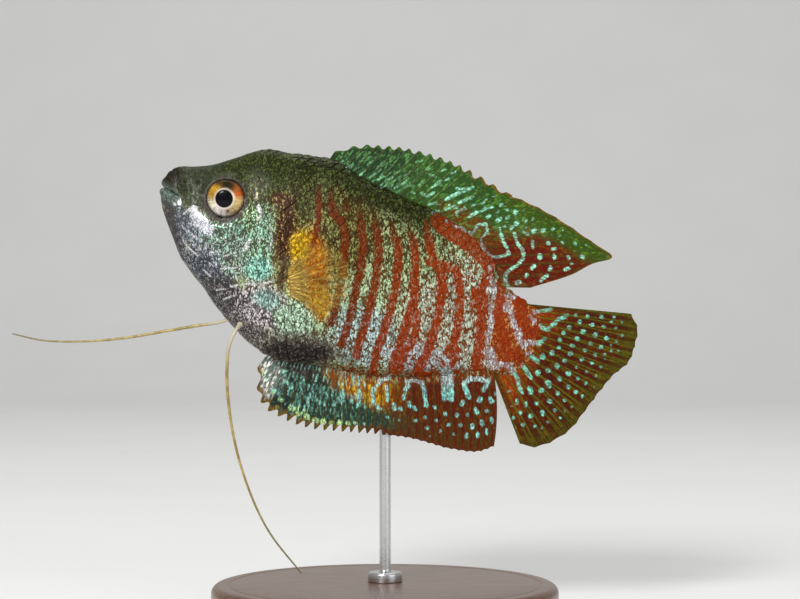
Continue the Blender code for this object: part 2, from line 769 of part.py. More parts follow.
def make_stand(surface, fish_place, wood, steel):
    rounding = BASE_EDGE_ROUND * BASE_EDGE
    profile = [
        (0.0, 0.0),
        (BASE_RADIUS - BASE_FOOT_INSET, 0.0),
        (BASE_RADIUS, BASE_FOOT_HEIGHT),
        (BASE_RADIUS, BASE_HEIGHT - BASE_EDGE),
        (BASE_RADIUS - rounding, BASE_HEIGHT - rounding),
        (BASE_RADIUS - BASE_EDGE, BASE_HEIGHT),
        (0.0, BASE_HEIGHT),
    ]
    add_object("stand_base", *turned(profile, BASE_SIDES), wood)
    foot = BASE_HEIGHT + GAP
    collar = foot + ROD_FOOT_HEIGHT
    stub = collar + ROD_FOOT_HEIGHT
    profile = [
        (0.0, foot),
        (ROD_FOOT_RADIUS, foot),
        (ROD_FOOT_RADIUS, collar - ROD_FOOT_SLOPE_DOWN),
        (ROD_FOOT_RADIUS - ROD_FOOT_SLOPE_IN, collar),
        (ROD_RADIUS, collar),
        (ROD_RADIUS, stub),
        (0.0, stub),
    ]
    points, faces = turned(profile, ROD_SIDES, (ROD_X, ROD_Y))

    # The stub's top ring is then raised to just under the belly
    into_fish = fish_place.inverted()
    up = into_fish.to_3x3() @ Vector((0.0, 0.0, 1.0))
    for k in range(len(points) - ROD_SIDES - 1, len(points)):
        x, y, _ = points[k]
        start = into_fish @ Vector((x, y, collar))
        reach = surface.ray_cast(start, up)[3]
        points[k] = (x, y, collar + reach - ROD_TOP_GAP)
    add_object("stand_rod", points, faces, steel)


def main():
    clear_scene()
    skin, fin, iris, wood, steel = (make_material(name) for name in FINISHES)

    fish = bpy.data.objects.new("fish_axes", None)
    bpy.context.scene.collection.objects.link(fish)
    fish.location = (SNOUT_X * MM, 0.0, SNOUT_Z * MM)
    fish.rotation_euler = (0.0, math.radians(NOSE_UP_DEGREES), 0.0)
    turn = Matrix.Rotation(math.radians(NOSE_UP_DEGREES), 4, "Y")
    fish_place = Matrix.Translation((SNOUT_X, 0.0, SNOUT_Z)) @ turn

    head, torso, stalk = body_rings()
    surface = body_surface(head, torso, stalk)
    make_head(head, surface, skin, fish)
    make_gill_covers(surface, skin, fish)
    make_eyes(iris, fish)
    add_loft("torso", torso, None, skin, fish)
    add_loft("tail_stalk", stalk, None, skin, fish)
    make_median_fins(surface, fin, fish)
    make_pectoral_fins(surface, fin, fish)
    make_feelers(surface, fin, fish)
    make_stand(surface, fish_place, wood, steel)


main()
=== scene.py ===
import math
import random

import bmesh
import bpy
import numpy as np
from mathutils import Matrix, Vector
from mathutils.bvhtree import BVHTree


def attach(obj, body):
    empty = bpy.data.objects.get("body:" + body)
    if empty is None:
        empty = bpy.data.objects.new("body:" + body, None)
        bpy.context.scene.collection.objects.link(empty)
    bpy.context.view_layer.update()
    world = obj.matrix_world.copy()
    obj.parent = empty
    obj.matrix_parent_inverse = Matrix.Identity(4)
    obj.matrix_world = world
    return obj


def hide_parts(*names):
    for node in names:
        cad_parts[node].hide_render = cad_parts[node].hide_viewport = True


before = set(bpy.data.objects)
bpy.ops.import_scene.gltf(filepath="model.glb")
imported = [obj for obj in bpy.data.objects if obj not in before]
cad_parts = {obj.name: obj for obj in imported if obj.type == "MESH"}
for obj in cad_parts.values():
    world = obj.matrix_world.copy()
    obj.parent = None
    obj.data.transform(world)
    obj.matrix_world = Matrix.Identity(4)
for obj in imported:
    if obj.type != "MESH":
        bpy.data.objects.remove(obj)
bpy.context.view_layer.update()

print("frame loaded,", len(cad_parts), "nodes")

# The fish is drawn in its own axes in millimetres: s back from the snout, y to its right, t up
pose = {"snoutX": -33.6, "snoutZ": 64.05, "noseUp": 22.0}


def toFrame(points):   # fish axes in millimetres to the frame in metres
    s, y, t = np.asarray(points, float).T
    turn = math.radians(pose["noseUp"])
    x = pose["snoutX"] + s * math.cos(turn) + t * math.sin(turn)
    z = pose["snoutZ"] - s * math.sin(turn) + t * math.cos(turn)
    return np.stack([x, y, z], 1) * 0.001


def toFish(points):
    x, y, z = (np.asarray(points, float) * 1000).T
    turn = math.radians(pose["noseUp"])
    x, z = x - pose["snoutX"], z - pose["snoutZ"]
    return np.stack([x * math.cos(turn) - z * math.sin(turn), y, x * math.sin(turn) + z * math.cos(turn)], 1)


def turnToFrame(vectors):   # directions, without the shift
    return (toFrame(vectors) - toFrame(np.zeros((1, 3)))) * 1000


def ease(low, high, value):   # 0 below low, 1 above high, smooth between; low may be the larger
    u = np.clip((value - low) / (high - low), 0, 1)
    return u * u * (3 - 2 * u)


def along(rows, places):   # the rows' later columns on smooth curves over the first column
    rows = np.asarray(rows, float)
    x, y = rows[:, 0], rows[:, 1:]
    step = np.diff(x)[:, None]
    rise = np.diff(y, axis=0) / step
    slopes = np.vstack([rise[:1], (rise[:-1] * step[1:] + rise[1:] * step[:-1]) / (step[:-1] + step[1:]), rise[-1:]])
    places = np.atleast_1d(places)
    k = np.clip(np.searchsorted(x, places) - 1, 0, len(x) - 2)
    u = ((places - x[k]) / step[k, 0])[:, None]
    return (y[k] * (1 + 2 * u) * (1 - u) ** 2 + y[k + 1] * u * u * (3 - 2 * u)
            + slopes[k] * step[k] * u * (1 - u) ** 2 - slopes[k + 1] * step[k] * u * u * (1 - u))


# Body sections: side point s, t, half width, top point s, t, bottom point s, t
bodyRows = [
    (1.30, 0.42, 0.00, 1.30, 0.42, 1.30, 0.42), (2.75, 0.12, 1.50, -0.02, 0.66, 0.08, 0.30),
    (3.05, 0.08, 1.88, -0.30, 0.92, -0.12, 0.05), (3.30, 0.02, 2.08, -0.34, 1.45, -0.06, -0.40),
    (3.62, -0.08, 2.06, -0.10, 2.10, 0.34, -0.92), (4.05, -0.20, 2.22, 0.12, 3.05, 0.85, -1.95),
    (4.70, -0.50, 2.60, 1.10, 4.15, 1.90, -3.30), (5.90, -0.90, 3.05, 3.20, 5.05, 4.00, -5.60),
    (7.90, -1.20, 3.60, 6.30, 6.75, 6.50, -8.24), (10.3, -1.20, 4.15, 9.50, 9.45, 9.00, -9.90),
    (13.2, -1.10, 4.60, 12.1, 11.40, 11.3, -11.20), (17.0, -1.20, 5.00, 15.8, 12.35, 13.3, -12.55),
    (22.0, -2.20, 5.28, 19.2, 13.15, 15.8, -14.05), (25.0, -1.70, 5.30, 22.3, 13.85, 20.0, -16.20),
    (29.5, -1.50, 5.10, 27.5, 13.10, 25.6, -16.95), (34.8, -1.10, 4.65, 33.3, 12.70, 31.8, -15.65),
    (40.5, -0.70, 3.95, 39.3, 12.45, 38.6, -14.30), (46.0, -0.50, 3.15, 44.7, 11.55, 45.0, -12.10),
    (50.5, -0.60, 2.45, 49.1, 9.65, 50.2, -9.75), (54.3, -0.85, 1.80, 52.9, 6.20, 53.8, -7.80),
    (56.6, -0.95, 1.42, 55.2, 5.45, 55.5, -7.10), (58.6, -1.00, 1.05, 57.4, 4.95, 57.0, -6.85),
    (60.6, -1.00, 0.30, 59.3, 4.90, 58.7, -6.80),
]
skinSize = {
    "tip": (1.30, 0.0, 0.42), "headStart": 4.70, "bodyStart": 22.0, "end": 60.6, "coatDepth": 0.12,
    "mouthRings": 44, "headRings": 148, "bodyRings": 168, "around": 236,
}
eye = {
    "s": 9.8, "t": 2.4, "radius": 2.95, "halfDepth": 1.75, "centreY": 3.05, "socket": 2.84, "rimY": 3.86,
    "surround": 4.3, "rearLimit": 15,   # the skin round the eye, and the s behind which it has none
}
cover = {"s": 16.7, "t": -2.9, "halfLength": 5.3, "halfWidth": 3.3, "lean": 22.0, "raise": 0.26}


def bodyGrid(places, angles):   # points for every place and angle; angle 0 is the top, then down the right side
    sideT, width, topS, topT, bottomS, bottomT = (c[:, None] for c in along(bodyRows, places).T)
    level = np.cos(angles)[None, :]
    endS, endT = np.where(level >= 0, topS, bottomS), np.where(level >= 0, topT, bottomT)
    place = np.asarray(places, float)[:, None]
    s = place + (endS - place) * level ** 2
    t = sideT + (endT - sideT) * abs(level)
    y = width * np.sin(angles)[None, :]
    return np.stack([s, y, t], 2)


# Millimetres to the edge of the nearest stroke (half width, s, t, s, t...), negative inside
def nearStroke(s, t, strokes):
    field = np.full(len(s), 5.0)
    for half, *path in strokes:
        points = list(zip(path[::2], path[1::2]))
        for (s0, t0), (s1, t1) in zip(points, points[1:] or points):
            ds, dt = s1 - s0, t1 - t0
            h = np.clip(((s - s0) * ds + (t - t0) * dt) / max(ds * ds + dt * dt, 1e-9), 0, 1)
            field = np.minimum(field, np.hypot(s - s0 - h * ds, t - t0 - h * dt) - half)
    return field


# Folds of the head: depth (a ridge where negative), width, then the line s, t, s, t...
headFolds = [
    (0.15, 0.16, (-0.4, 3.5, 1.2, 3.2, 2.4, 1.6, 3.7, 0.3)),      # behind the upper lip
    (-0.06, 0.35, (0.5, 2.2, 1.7, 1.4, 2.7, 0.7)),                # roll of the upper lip
    (0.05, 0.22, (1.6, 4.4, 3.3, 3.0, 4.4, 1.3, 4.6, -0.4)),      # cheek fold
    (0.12, 0.25, (3.2, -0.1, 4.0, -0.9, 4.2, -2.2)),              # corner of the jaw
    (0.10, 0.25, (1.0, -1.9, 2.6, -2.4, 4.4, -4.2)),              # edge of the lower jaw
    (0.10, 0.28, (5.4, 0.7, 6.6, -0.9, 9.2, -1.7, 12.0, -1.1, 13.2, 0.8)),
    (0.16, 0.22, (13.4, 3.6, 14.0, 0.4, 13.4, -2.8, 11.4, -5.6, 8.2, -6.9, 5.6, -5.6)),   # front cover plate
    (-0.10, 0.45, (12.8, 3.4, 13.3, 0.2, 12.6, -2.8, 10.8, -5.0)),
    (0.15, 0.20, (5.2, -5.9, 8.4, -8.1, 12.4, -9.3, 16.4, -9.4, 19.0, -8.2)),
    (0.12, 0.20, (6.6, -7.6, 9.6, -9.3, 13.0, -10.4, 16.6, -10.6)),
    (-0.09, 0.16, (5.0, -3.4, 7.0, -4.9, 9.4, -5.6, 11.4, -5.4)),  # scale edges on the cheek
    (-0.09, 0.16, (6.2, -3.2, 8.0, -4.3, 10.0, -4.5, 11.4, -3.6)),
    (-0.08, 0.15, (5.6, -4.9, 7.8, -6.2, 10.4, -6.8, 12.6, -6.4)),
    (-0.08, 0.15, (10.6, -8.0, 13.2, -8.4, 16.0, -8.0)),
]
nostrils = [(3.05, 2.45, 0.30), (4.95, 3.10, 0.36)]


def coverPlace(s, t):   # distance from the middle of the gill cover, 1 at its edge, and the share towards the rear
    lean = math.radians(cover["lean"])
    ds, dt = s - cover["s"], t - cover["t"]
    wide, long = ds * math.cos(lean) + dt * math.sin(lean), -ds * math.sin(lean) + dt * math.cos(lean)
    return np.hypot(wide / cover["halfWidth"], long / cover["halfLength"]), wide / cover["halfWidth"]


def relief(s, t):   # how far the skin stands out of the plain body, in millimetres
    rise = np.zeros(len(s))
    for depth, width, path in headFolds:
        rise -= depth * np.exp(-(nearStroke(s, t, [(0.0, *path)]) / width) ** 2)
    for ns, nt, radius in nostrils:
        r = np.hypot(s - ns, t - nt)
        rise += 0.07 * np.exp(-((r - radius * 1.35) / 0.16) ** 2) - 0.40 * ease(radius * 1.1, radius * 0.5, r)
    edge, rear = coverPlace(s, t)
    rise += cover["raise"] * ease(1.03, 0.93, edge) * ease(-1.0, 0.2, rear)
    rise += 0.10 * ease(1.20, 1.08, edge) * ease(-0.2, 0.5, rear)
    rise += 0.05 * np.sin(1.1 * s + 0.4 * t) * np.sin(0.9 * t - 0.3 * s) * ease(3, 8, s)
    rise -= skinSize["coatDepth"] * ease(14, 20, s)   # room for the scales
    return rise


def makeSkinPoints():
    size = skinSize
    places = np.concatenate([
        np.linspace(size["tip"][0], size["headStart"], size["mouthRings"], endpoint=False)[1:],
        np.linspace(size["headStart"], size["bodyStart"], size["headRings"], endpoint=False),
        np.linspace(size["bodyStart"], size["end"], size["bodyRings"]),
    ])
    angles = 2 * np.pi * np.arange(size["around"]) / size["around"]
    grid = bodyGrid(places, angles)
    down = np.gradient(grid, axis=0)
    across = np.roll(grid, -1, 1) - np.roll(grid, 1, 1)
    normal = np.cross(down, across)
    normal /= np.linalg.norm(normal, axis=2, keepdims=True) + 1e-12
    flat, away = grid.reshape(-1, 3), normal.reshape(-1, 3)
    s, y, t = flat.T
    moved = flat + away * relief(s, t)[:, None]
    side = np.sign(y)
    r = np.hypot(s - eye["s"], t - eye["t"])
    front = s < eye["rearLimit"]
    near = (abs(r - eye["socket"]) < 0.2) & front   # draws the rings of the grid to a clean round edge
    snapped = eye["socket"] + (r - eye["socket"]) * 0.12
    for axis, centre in ((0, eye["s"]), (2, eye["t"])):
        moved[near, axis] = centre + (moved[near, axis] - centre) * (snapped / np.maximum(r, 0.1))[near]
    out = abs(moved[:, 1])
    out += (eye["rimY"] - out) * 0.8 * ease(4.2, 3.1, r) * front
    out += 0.09 * np.exp(-((r - 3.05) / 0.22) ** 2)
    out += (2.0 - out) * ease(eye["socket"] + 0.03, eye["socket"] - 0.12, r)
    eyeArea = (r < eye["surround"]) & front
    moved[eyeArea, 1] = (side * out)[eyeArea]
    return places, angles, flat, moved


def quadGrid(rows, columns, closed):   # faces of a grid of points, row after row
    r, k = np.meshgrid(np.arange(rows - 1), np.arange(columns if closed else columns - 1), indexing="ij")
    a, b = (r * columns + k).ravel(), (r * columns + (k + 1) % columns).ravel()
    return np.stack([a, b, b + columns, a + columns], 1).tolist()


def sheetFaces(columns, rows):   # a thin sheet: its near side, its far side and the strip round its edge
    near = quadGrid(columns, rows, False)
    shift = columns * rows
    far = [[i + shift for i in reversed(face)] for face in near]
    ring = [c * rows for c in range(columns)] + [(columns - 1) * rows + r for r in range(1, rows)]
    ring += [c * rows + rows - 1 for c in range(columns - 2, -1, -1)] + list(range(rows - 2, 0, -1))
    return near + far + [(a, b, b + shift, a + shift) for a, b in zip(ring, ring[1:] + ring[:1])]


def capFaces(first, second, last, sides):   # fans from a point to the first ring and from a point to the last
    faces = []
    for k in range(sides):
        after = (k + 1) % sides
        faces += [(first, after, k), (second, last + k, last + after)]
    return faces


def newObject(name, data):
    item = bpy.data.objects.new(name, data)
    bpy.context.scene.collection.objects.link(item)
    return item


def makePiece(name, points, faces, material, fishAxes=True):   # closed mesh with its faces turned outward
    mesh = bpy.data.meshes.new(name)
    mesh.from_pydata(toFrame(points) if fishAxes else np.asarray(points, float) * 0.001, [], faces)
    work = bmesh.new()
    work.from_mesh(mesh)
    bmesh.ops.recalc_face_normals(work, faces=work.faces)
    work.to_mesh(mesh)
    work.free()
    mesh.shade_smooth()
    mesh.materials.append(material)
    return newObject(name, mesh)


def store(mesh, name, kind, values):
    layer = mesh.attributes.new(name, kind, "POINT")
    slot = {"FLOAT": "value", "FLOAT_VECTOR": "vector", "FLOAT_COLOR": "color"}[kind]
    layer.data.foreach_set(slot, np.ascontiguousarray(values, np.float32).ravel())


def paint(code):   # a hex colour as linear red, green and blue
    values = np.array([int(code[k:k + 2], 16) / 255 for k in (0, 2, 4)])
    return np.where(values <= 0.04045, values / 12.92, ((values + 0.055) / 1.055) ** 2.4)


# Markings. Zones: s, t, half sizes, lean in degrees, dark and bright colour, share of bright flecks, metal, roughness
bodyZones = [
    (37, -2, 13, 14, 0, "5a4418", "b0cca2", 0.53, 0.36, 0.38),     # pale bars of the flank
    (49, -4, 9, 12, 0, "6a3a14", "b8c4b0", 0.51, 0.36, 0.38),      # pale bars near the tail
    (36.5, -9.0, 5.0, 4.5, 0, "5c401c", "b0ccca", 0.53, 0.4, 0.36),   # bluish foot of the bars in front
    (47, -9.5, 6.0, 3, 0, "6e3a18", "b0b8bc", 0.54, 0.4, 0.36),    # lilac foot of the rear bars
    (35, 6, 9, 4.5, 0, "423514", "a2b482", 0.46, 0.30, 0.40),
    (26, 4, 7, 8, 0, "402f10", "868a50", 0.42, 0.25, 0.40),        # front of the flank
    (57.5, 0, 4.6, 7, 0, "7c2a04", "b87c40", 0.40, 0.25, 0.38),       # tail stalk
    (17, 8, 7, 5, 0, "302c10", "5a6034", 0.40, 0.15, 0.42),        # nape
    (9, 8, 9, 5.2, 20, "262a12", "48562a", 0.38, 0.1, 0.42),       # crown
    (4, 3.2, 4.8, 3.0, 25, "2c3020", "48503a", 0.40, 0.1, 0.40),  # snout
    (0.4, 2.5, 1.9, 1.9, 40, "231f14", "37352a", 0.35, 0.05, 0.36),   # upper lip
    (1.6, -0.7, 2.9, 1.5, -25, "444c46", "6e7e74", 0.5, 0.25, 0.36),  # lower jaw
    (4.0, -4.6, 4.2, 1.2, -52, "3b3537", "5c5658", 0.4, 0.2, 0.36),   # edge of the chin
    (5.6, 0.3, 1.7, 1.4, 0, "3b3f30", "686f5c", 0.4, 0.2, 0.38),
    (10.8, -5.6, 5.2, 2.8, -24, "44464a", "bec6cc", 0.44, 0.5, 0.32),  # lower cheek
    (12.4, -9.4, 6.2, 2.2, -22, "34363a", "8c9298", 0.38, 0.35, 0.36),  # throat
    (13.4, 3.4, 2.4, 3.4, 0, "38341e", "646c48", 0.40, 0.2, 0.40),     # behind the eye
    (14.2, -0.2, 2.2, 3.0, 10, "3a3e26", "9cbc90", 0.44, 0.3, 0.36),
    (11.6, -2.6, 3.0, 2.6, 10, "40443a", "92b8a0", 0.40, 0.3, 0.36),  # front cover plate
    (14.6, -4.8, 2.6, 3.0, 10, "43463e", "a8c4b0", 0.42, 0.35, 0.34),
    (17.2, -1.4, 2.0, 4.6, 18, "3c4630", "a6ccac", 0.44, 0.35, 0.34),   # gill cover
    (18.4, -5.6, 1.8, 1.8, 0, "3c5a4c", "a6e4d0", 0.50, 0.4, 0.32),
    (5.6, -3.2, 2.6, 1.3, -50, "44484c", "8c949c", 0.42, 0.4, 0.34),   # side of the jaw
    (7.8, -2.2, 2.5, 0.92, -28, "767c90", "ffffff", 0.56, 0.4, 0.30),  # cheek: silvery skin with its highlight painted in as white flecks
    (20.0, 1.0, 1.5, 4.8, 16, "331d0c", "a07e4c", 0.28, 0.2, 0.42),   # shadow behind the cover
    (17.6, 5.2, 1.6, 1.2, 0, "3e2210", "8a764a", 0.34, 0.15, 0.44),
    (15.6, -11.8, 4.6, 2.6, -20, "323030", "84807e", 0.36, 0.4, 0.34),  # throat towards the breast
    (21.0, -10.6, 4.0, 3.4, -15, "4a4446", "d8ced0", 0.46, 0.5, 0.32),   # breast
    (21.2, -9.3, 2.0, 1.4, 0, "525f5a", "a4c8bc", 0.48, 0.45, 0.32),
    (20.5, -14.8, 6.0, 1.5, -12, "3c3535", "918988", 0.40, 0.4, 0.34),
    (25.8, -2.4, 2.2, 5.0, 24, "984806", "cc8614", 0.42, 0.15, 0.40),      # orange patch
    (28.4, -6.8, 2.0, 2.6, 20, "98600a", "c49c2c", 0.45, 0.15, 0.40),
    (22.9, -0.4, 1.5, 2.9, 16, "8a640a", "d2ac24", 0.48, 0.2, 0.38),      # yellow patch
    (24.2, -5.0, 1.7, 2.6, 24, "94762c", "dccb84", 0.48, 0.2, 0.38),     # root of the pectoral fin
    # painted shadow along the rear edge of the gill cover, with pale flecks in it
    (21.9, -4.6, 0.9, 2.8, 10, "44361f", "7a6a45", 0.4, 0.15, 0.42),
    (25.9, -10.4, 3.0, 2.6, 0, "545c48", "bcdcbe", 0.56, 0.45, 0.34),     # belly
    (28.4, -14.3, 6.6, 2.5, 17, "4c443a", "8a9080", 0.44, 0.3, 0.42),
    (28.2, -14.8, 5.0, 1.6, 17, "241f1c", "58504a", 0.34, 0.15, 0.46),   # dark of the belly
]
dorsalZones = [
    (27, 16, 10, 6, 0, "22381f", "4a7644", 0.36, 0.15, 0.44), (42, 17, 9, 5, 0, "2c4a1e", "4a7630", 0.36, 0.1, 0.44),
    (46, 12.4, 6, 1.6, -14, "5c340c", "586a28", 0.4, 0.1, 0.44),
    (57, 11.0, 9.5, 4.4, 15, "581604", "663006", 0.35, 0.05, 0.44),
    (56, 17.6, 12, 2.0, -14, "344c12", "4c6c20", 0.4, 0.1, 0.44),
]
analZones = [
    (30, -20, 9, 6, 0, "1f2c26", "4f7c6c", 0.38, 0.25, 0.40),
    (41, -21.0, 8, 2.6, 0, "24342a", "3c5c4a", 0.36, 0.1, 0.42),
    (40, -15.5, 6.5, 2.6, 0, "8a4808", "ba9020", 0.46, 0.1, 0.42),
    (54, -14, 10, 8, 0, "501602", "5e2e04", 0.35, 0.05, 0.44),
    (25.5, -19.5, 2.0, 3.5, 10, "5a6a60", "d4ccc4", 0.45, 0.3, 0.4),
    (27, -16.5, 6, 1.4, -8, "262522", "56565a", 0.30, 0.2, 0.42),
]
caudalZones = [
    (61.0, -1.0, 5.8, 9, 0, "842e04", "98480c", 0.4, 0.1, 0.42),
    (69, -3, 8, 15, 0, "441403", "502a04", 0.40, 0.05, 0.44),
]
# Red bars: half width, then the line s, t, s, t...
redBars = [
    (0.42, 21.6, 11.0, 22.0, 9.2, 22.9, 7.0, 23.7, 5.0, 24.3, 2.6, 24.5, 0.6),
    (0.50, 23.4, 11.4, 23.8, 9.8, 24.4, 8.2, 25.4, 6.4),
    (0.60, 25.4, 6.3, 27.0, 5.8, 28.3, 4.0, 29.5, 0.6, 30.1, -1.5), (0.52, 30.4, -3.4, 30.9, -6.0, 31.3, -9.0),
    (0.56, 25.8, 11.4, 26.2, 9.6, 27.0, 7.6),
    (0.58, 27.0, 11.4, 27.6, 10.2, 28.5, 9.0, 29.5, 7.0, 30.8, 4.8, 31.8, 2.0, 32.4, 0.0),
    (0.58, 32.4, 0.0, 32.7, -2.5, 33.2, -5.0, 33.6, -8.0, 33.8, -11.2),
    (0.58, 30.0, 10.6, 30.8, 8.9, 31.9, 7.1, 33.0, 5.3, 33.9, 3.5, 34.6, 1.0, 35.3, -1.8, 35.7, -4.7, 36.0, -8.1,
     36.5, -12.0),
    (0.56, 32.6, 10.8, 33.7, 8.6, 35.2, 6.6, 36.4, 5.0, 37.1, 3.0, 38.0, 0.0, 38.5, -2.5, 38.9, -5.0, 39.0, -8.0,
     39.1, -11.0, 39.9, -13.6),
    (0.56, 35.5, 10.8, 36.6, 8.6, 38.1, 6.9, 39.3, 4.6, 40.2, 2.0, 41.0, 0.0, 41.4, -2.5, 41.7, -5.0, 42.0, -8.5),
    (0.50, 42.2, -2.6, 43.2, -4.4, 43.5, -7.0, 42.9, -9.0), (1.05, 42.4, -9.4, 42.6, -11.4),
    (0.56, 38.2, 10.8, 39.6, 8.6, 41.2, 6.3, 42.4, 5.0, 43.6, 4.5, 44.8, 1.5, 45.5, -1.7, 46.0, -4.5, 46.1, -8.0,
     45.8, -10.8), (0.62, 41.4, 5.1, 44.4, 5.3),
    (0.56, 45.4, 5.4, 46.2, 4.4, 47.5, 2.0, 48.2, 0.0, 48.9, -2.5, 49.2, -4.6), (1.10, 49.5, -6.0, 49.6, -7.6),
    (0.55, 45.8, -10.9, 48.6, -10.9), (0.5, 47.0, -11.2, 49.4, -12.8),
    (1.25, 40.0, 11.2, 43.5, 10.3, 47.0, 9.6, 49.6, 8.4), (0.50, 49.3, 3.6, 50.0, 1.6),
    (0.66, 49.9, 8.4, 50.3, 5.0, 51.2, 2.0, 51.8, -0.4, 52.8, -3.3, 53.2, -5.6, 53.9, -7.4, 56.4, -7.6),
    (0.75, 52.5, 6.2, 53.7, 2.6, 54.7, 0.0, 55.8, -1.4, 57.0, -2.9, 59.0, -3.2),
    (0.8, 55.9, 5.4, 57.3, 2.6, 58.7, 0.6, 60.4, 1.2), (0.5, 50.6, -11.0, 51.4, -8.8), (0.4, 26.6, -3.6, 28.4, -3.8),
]
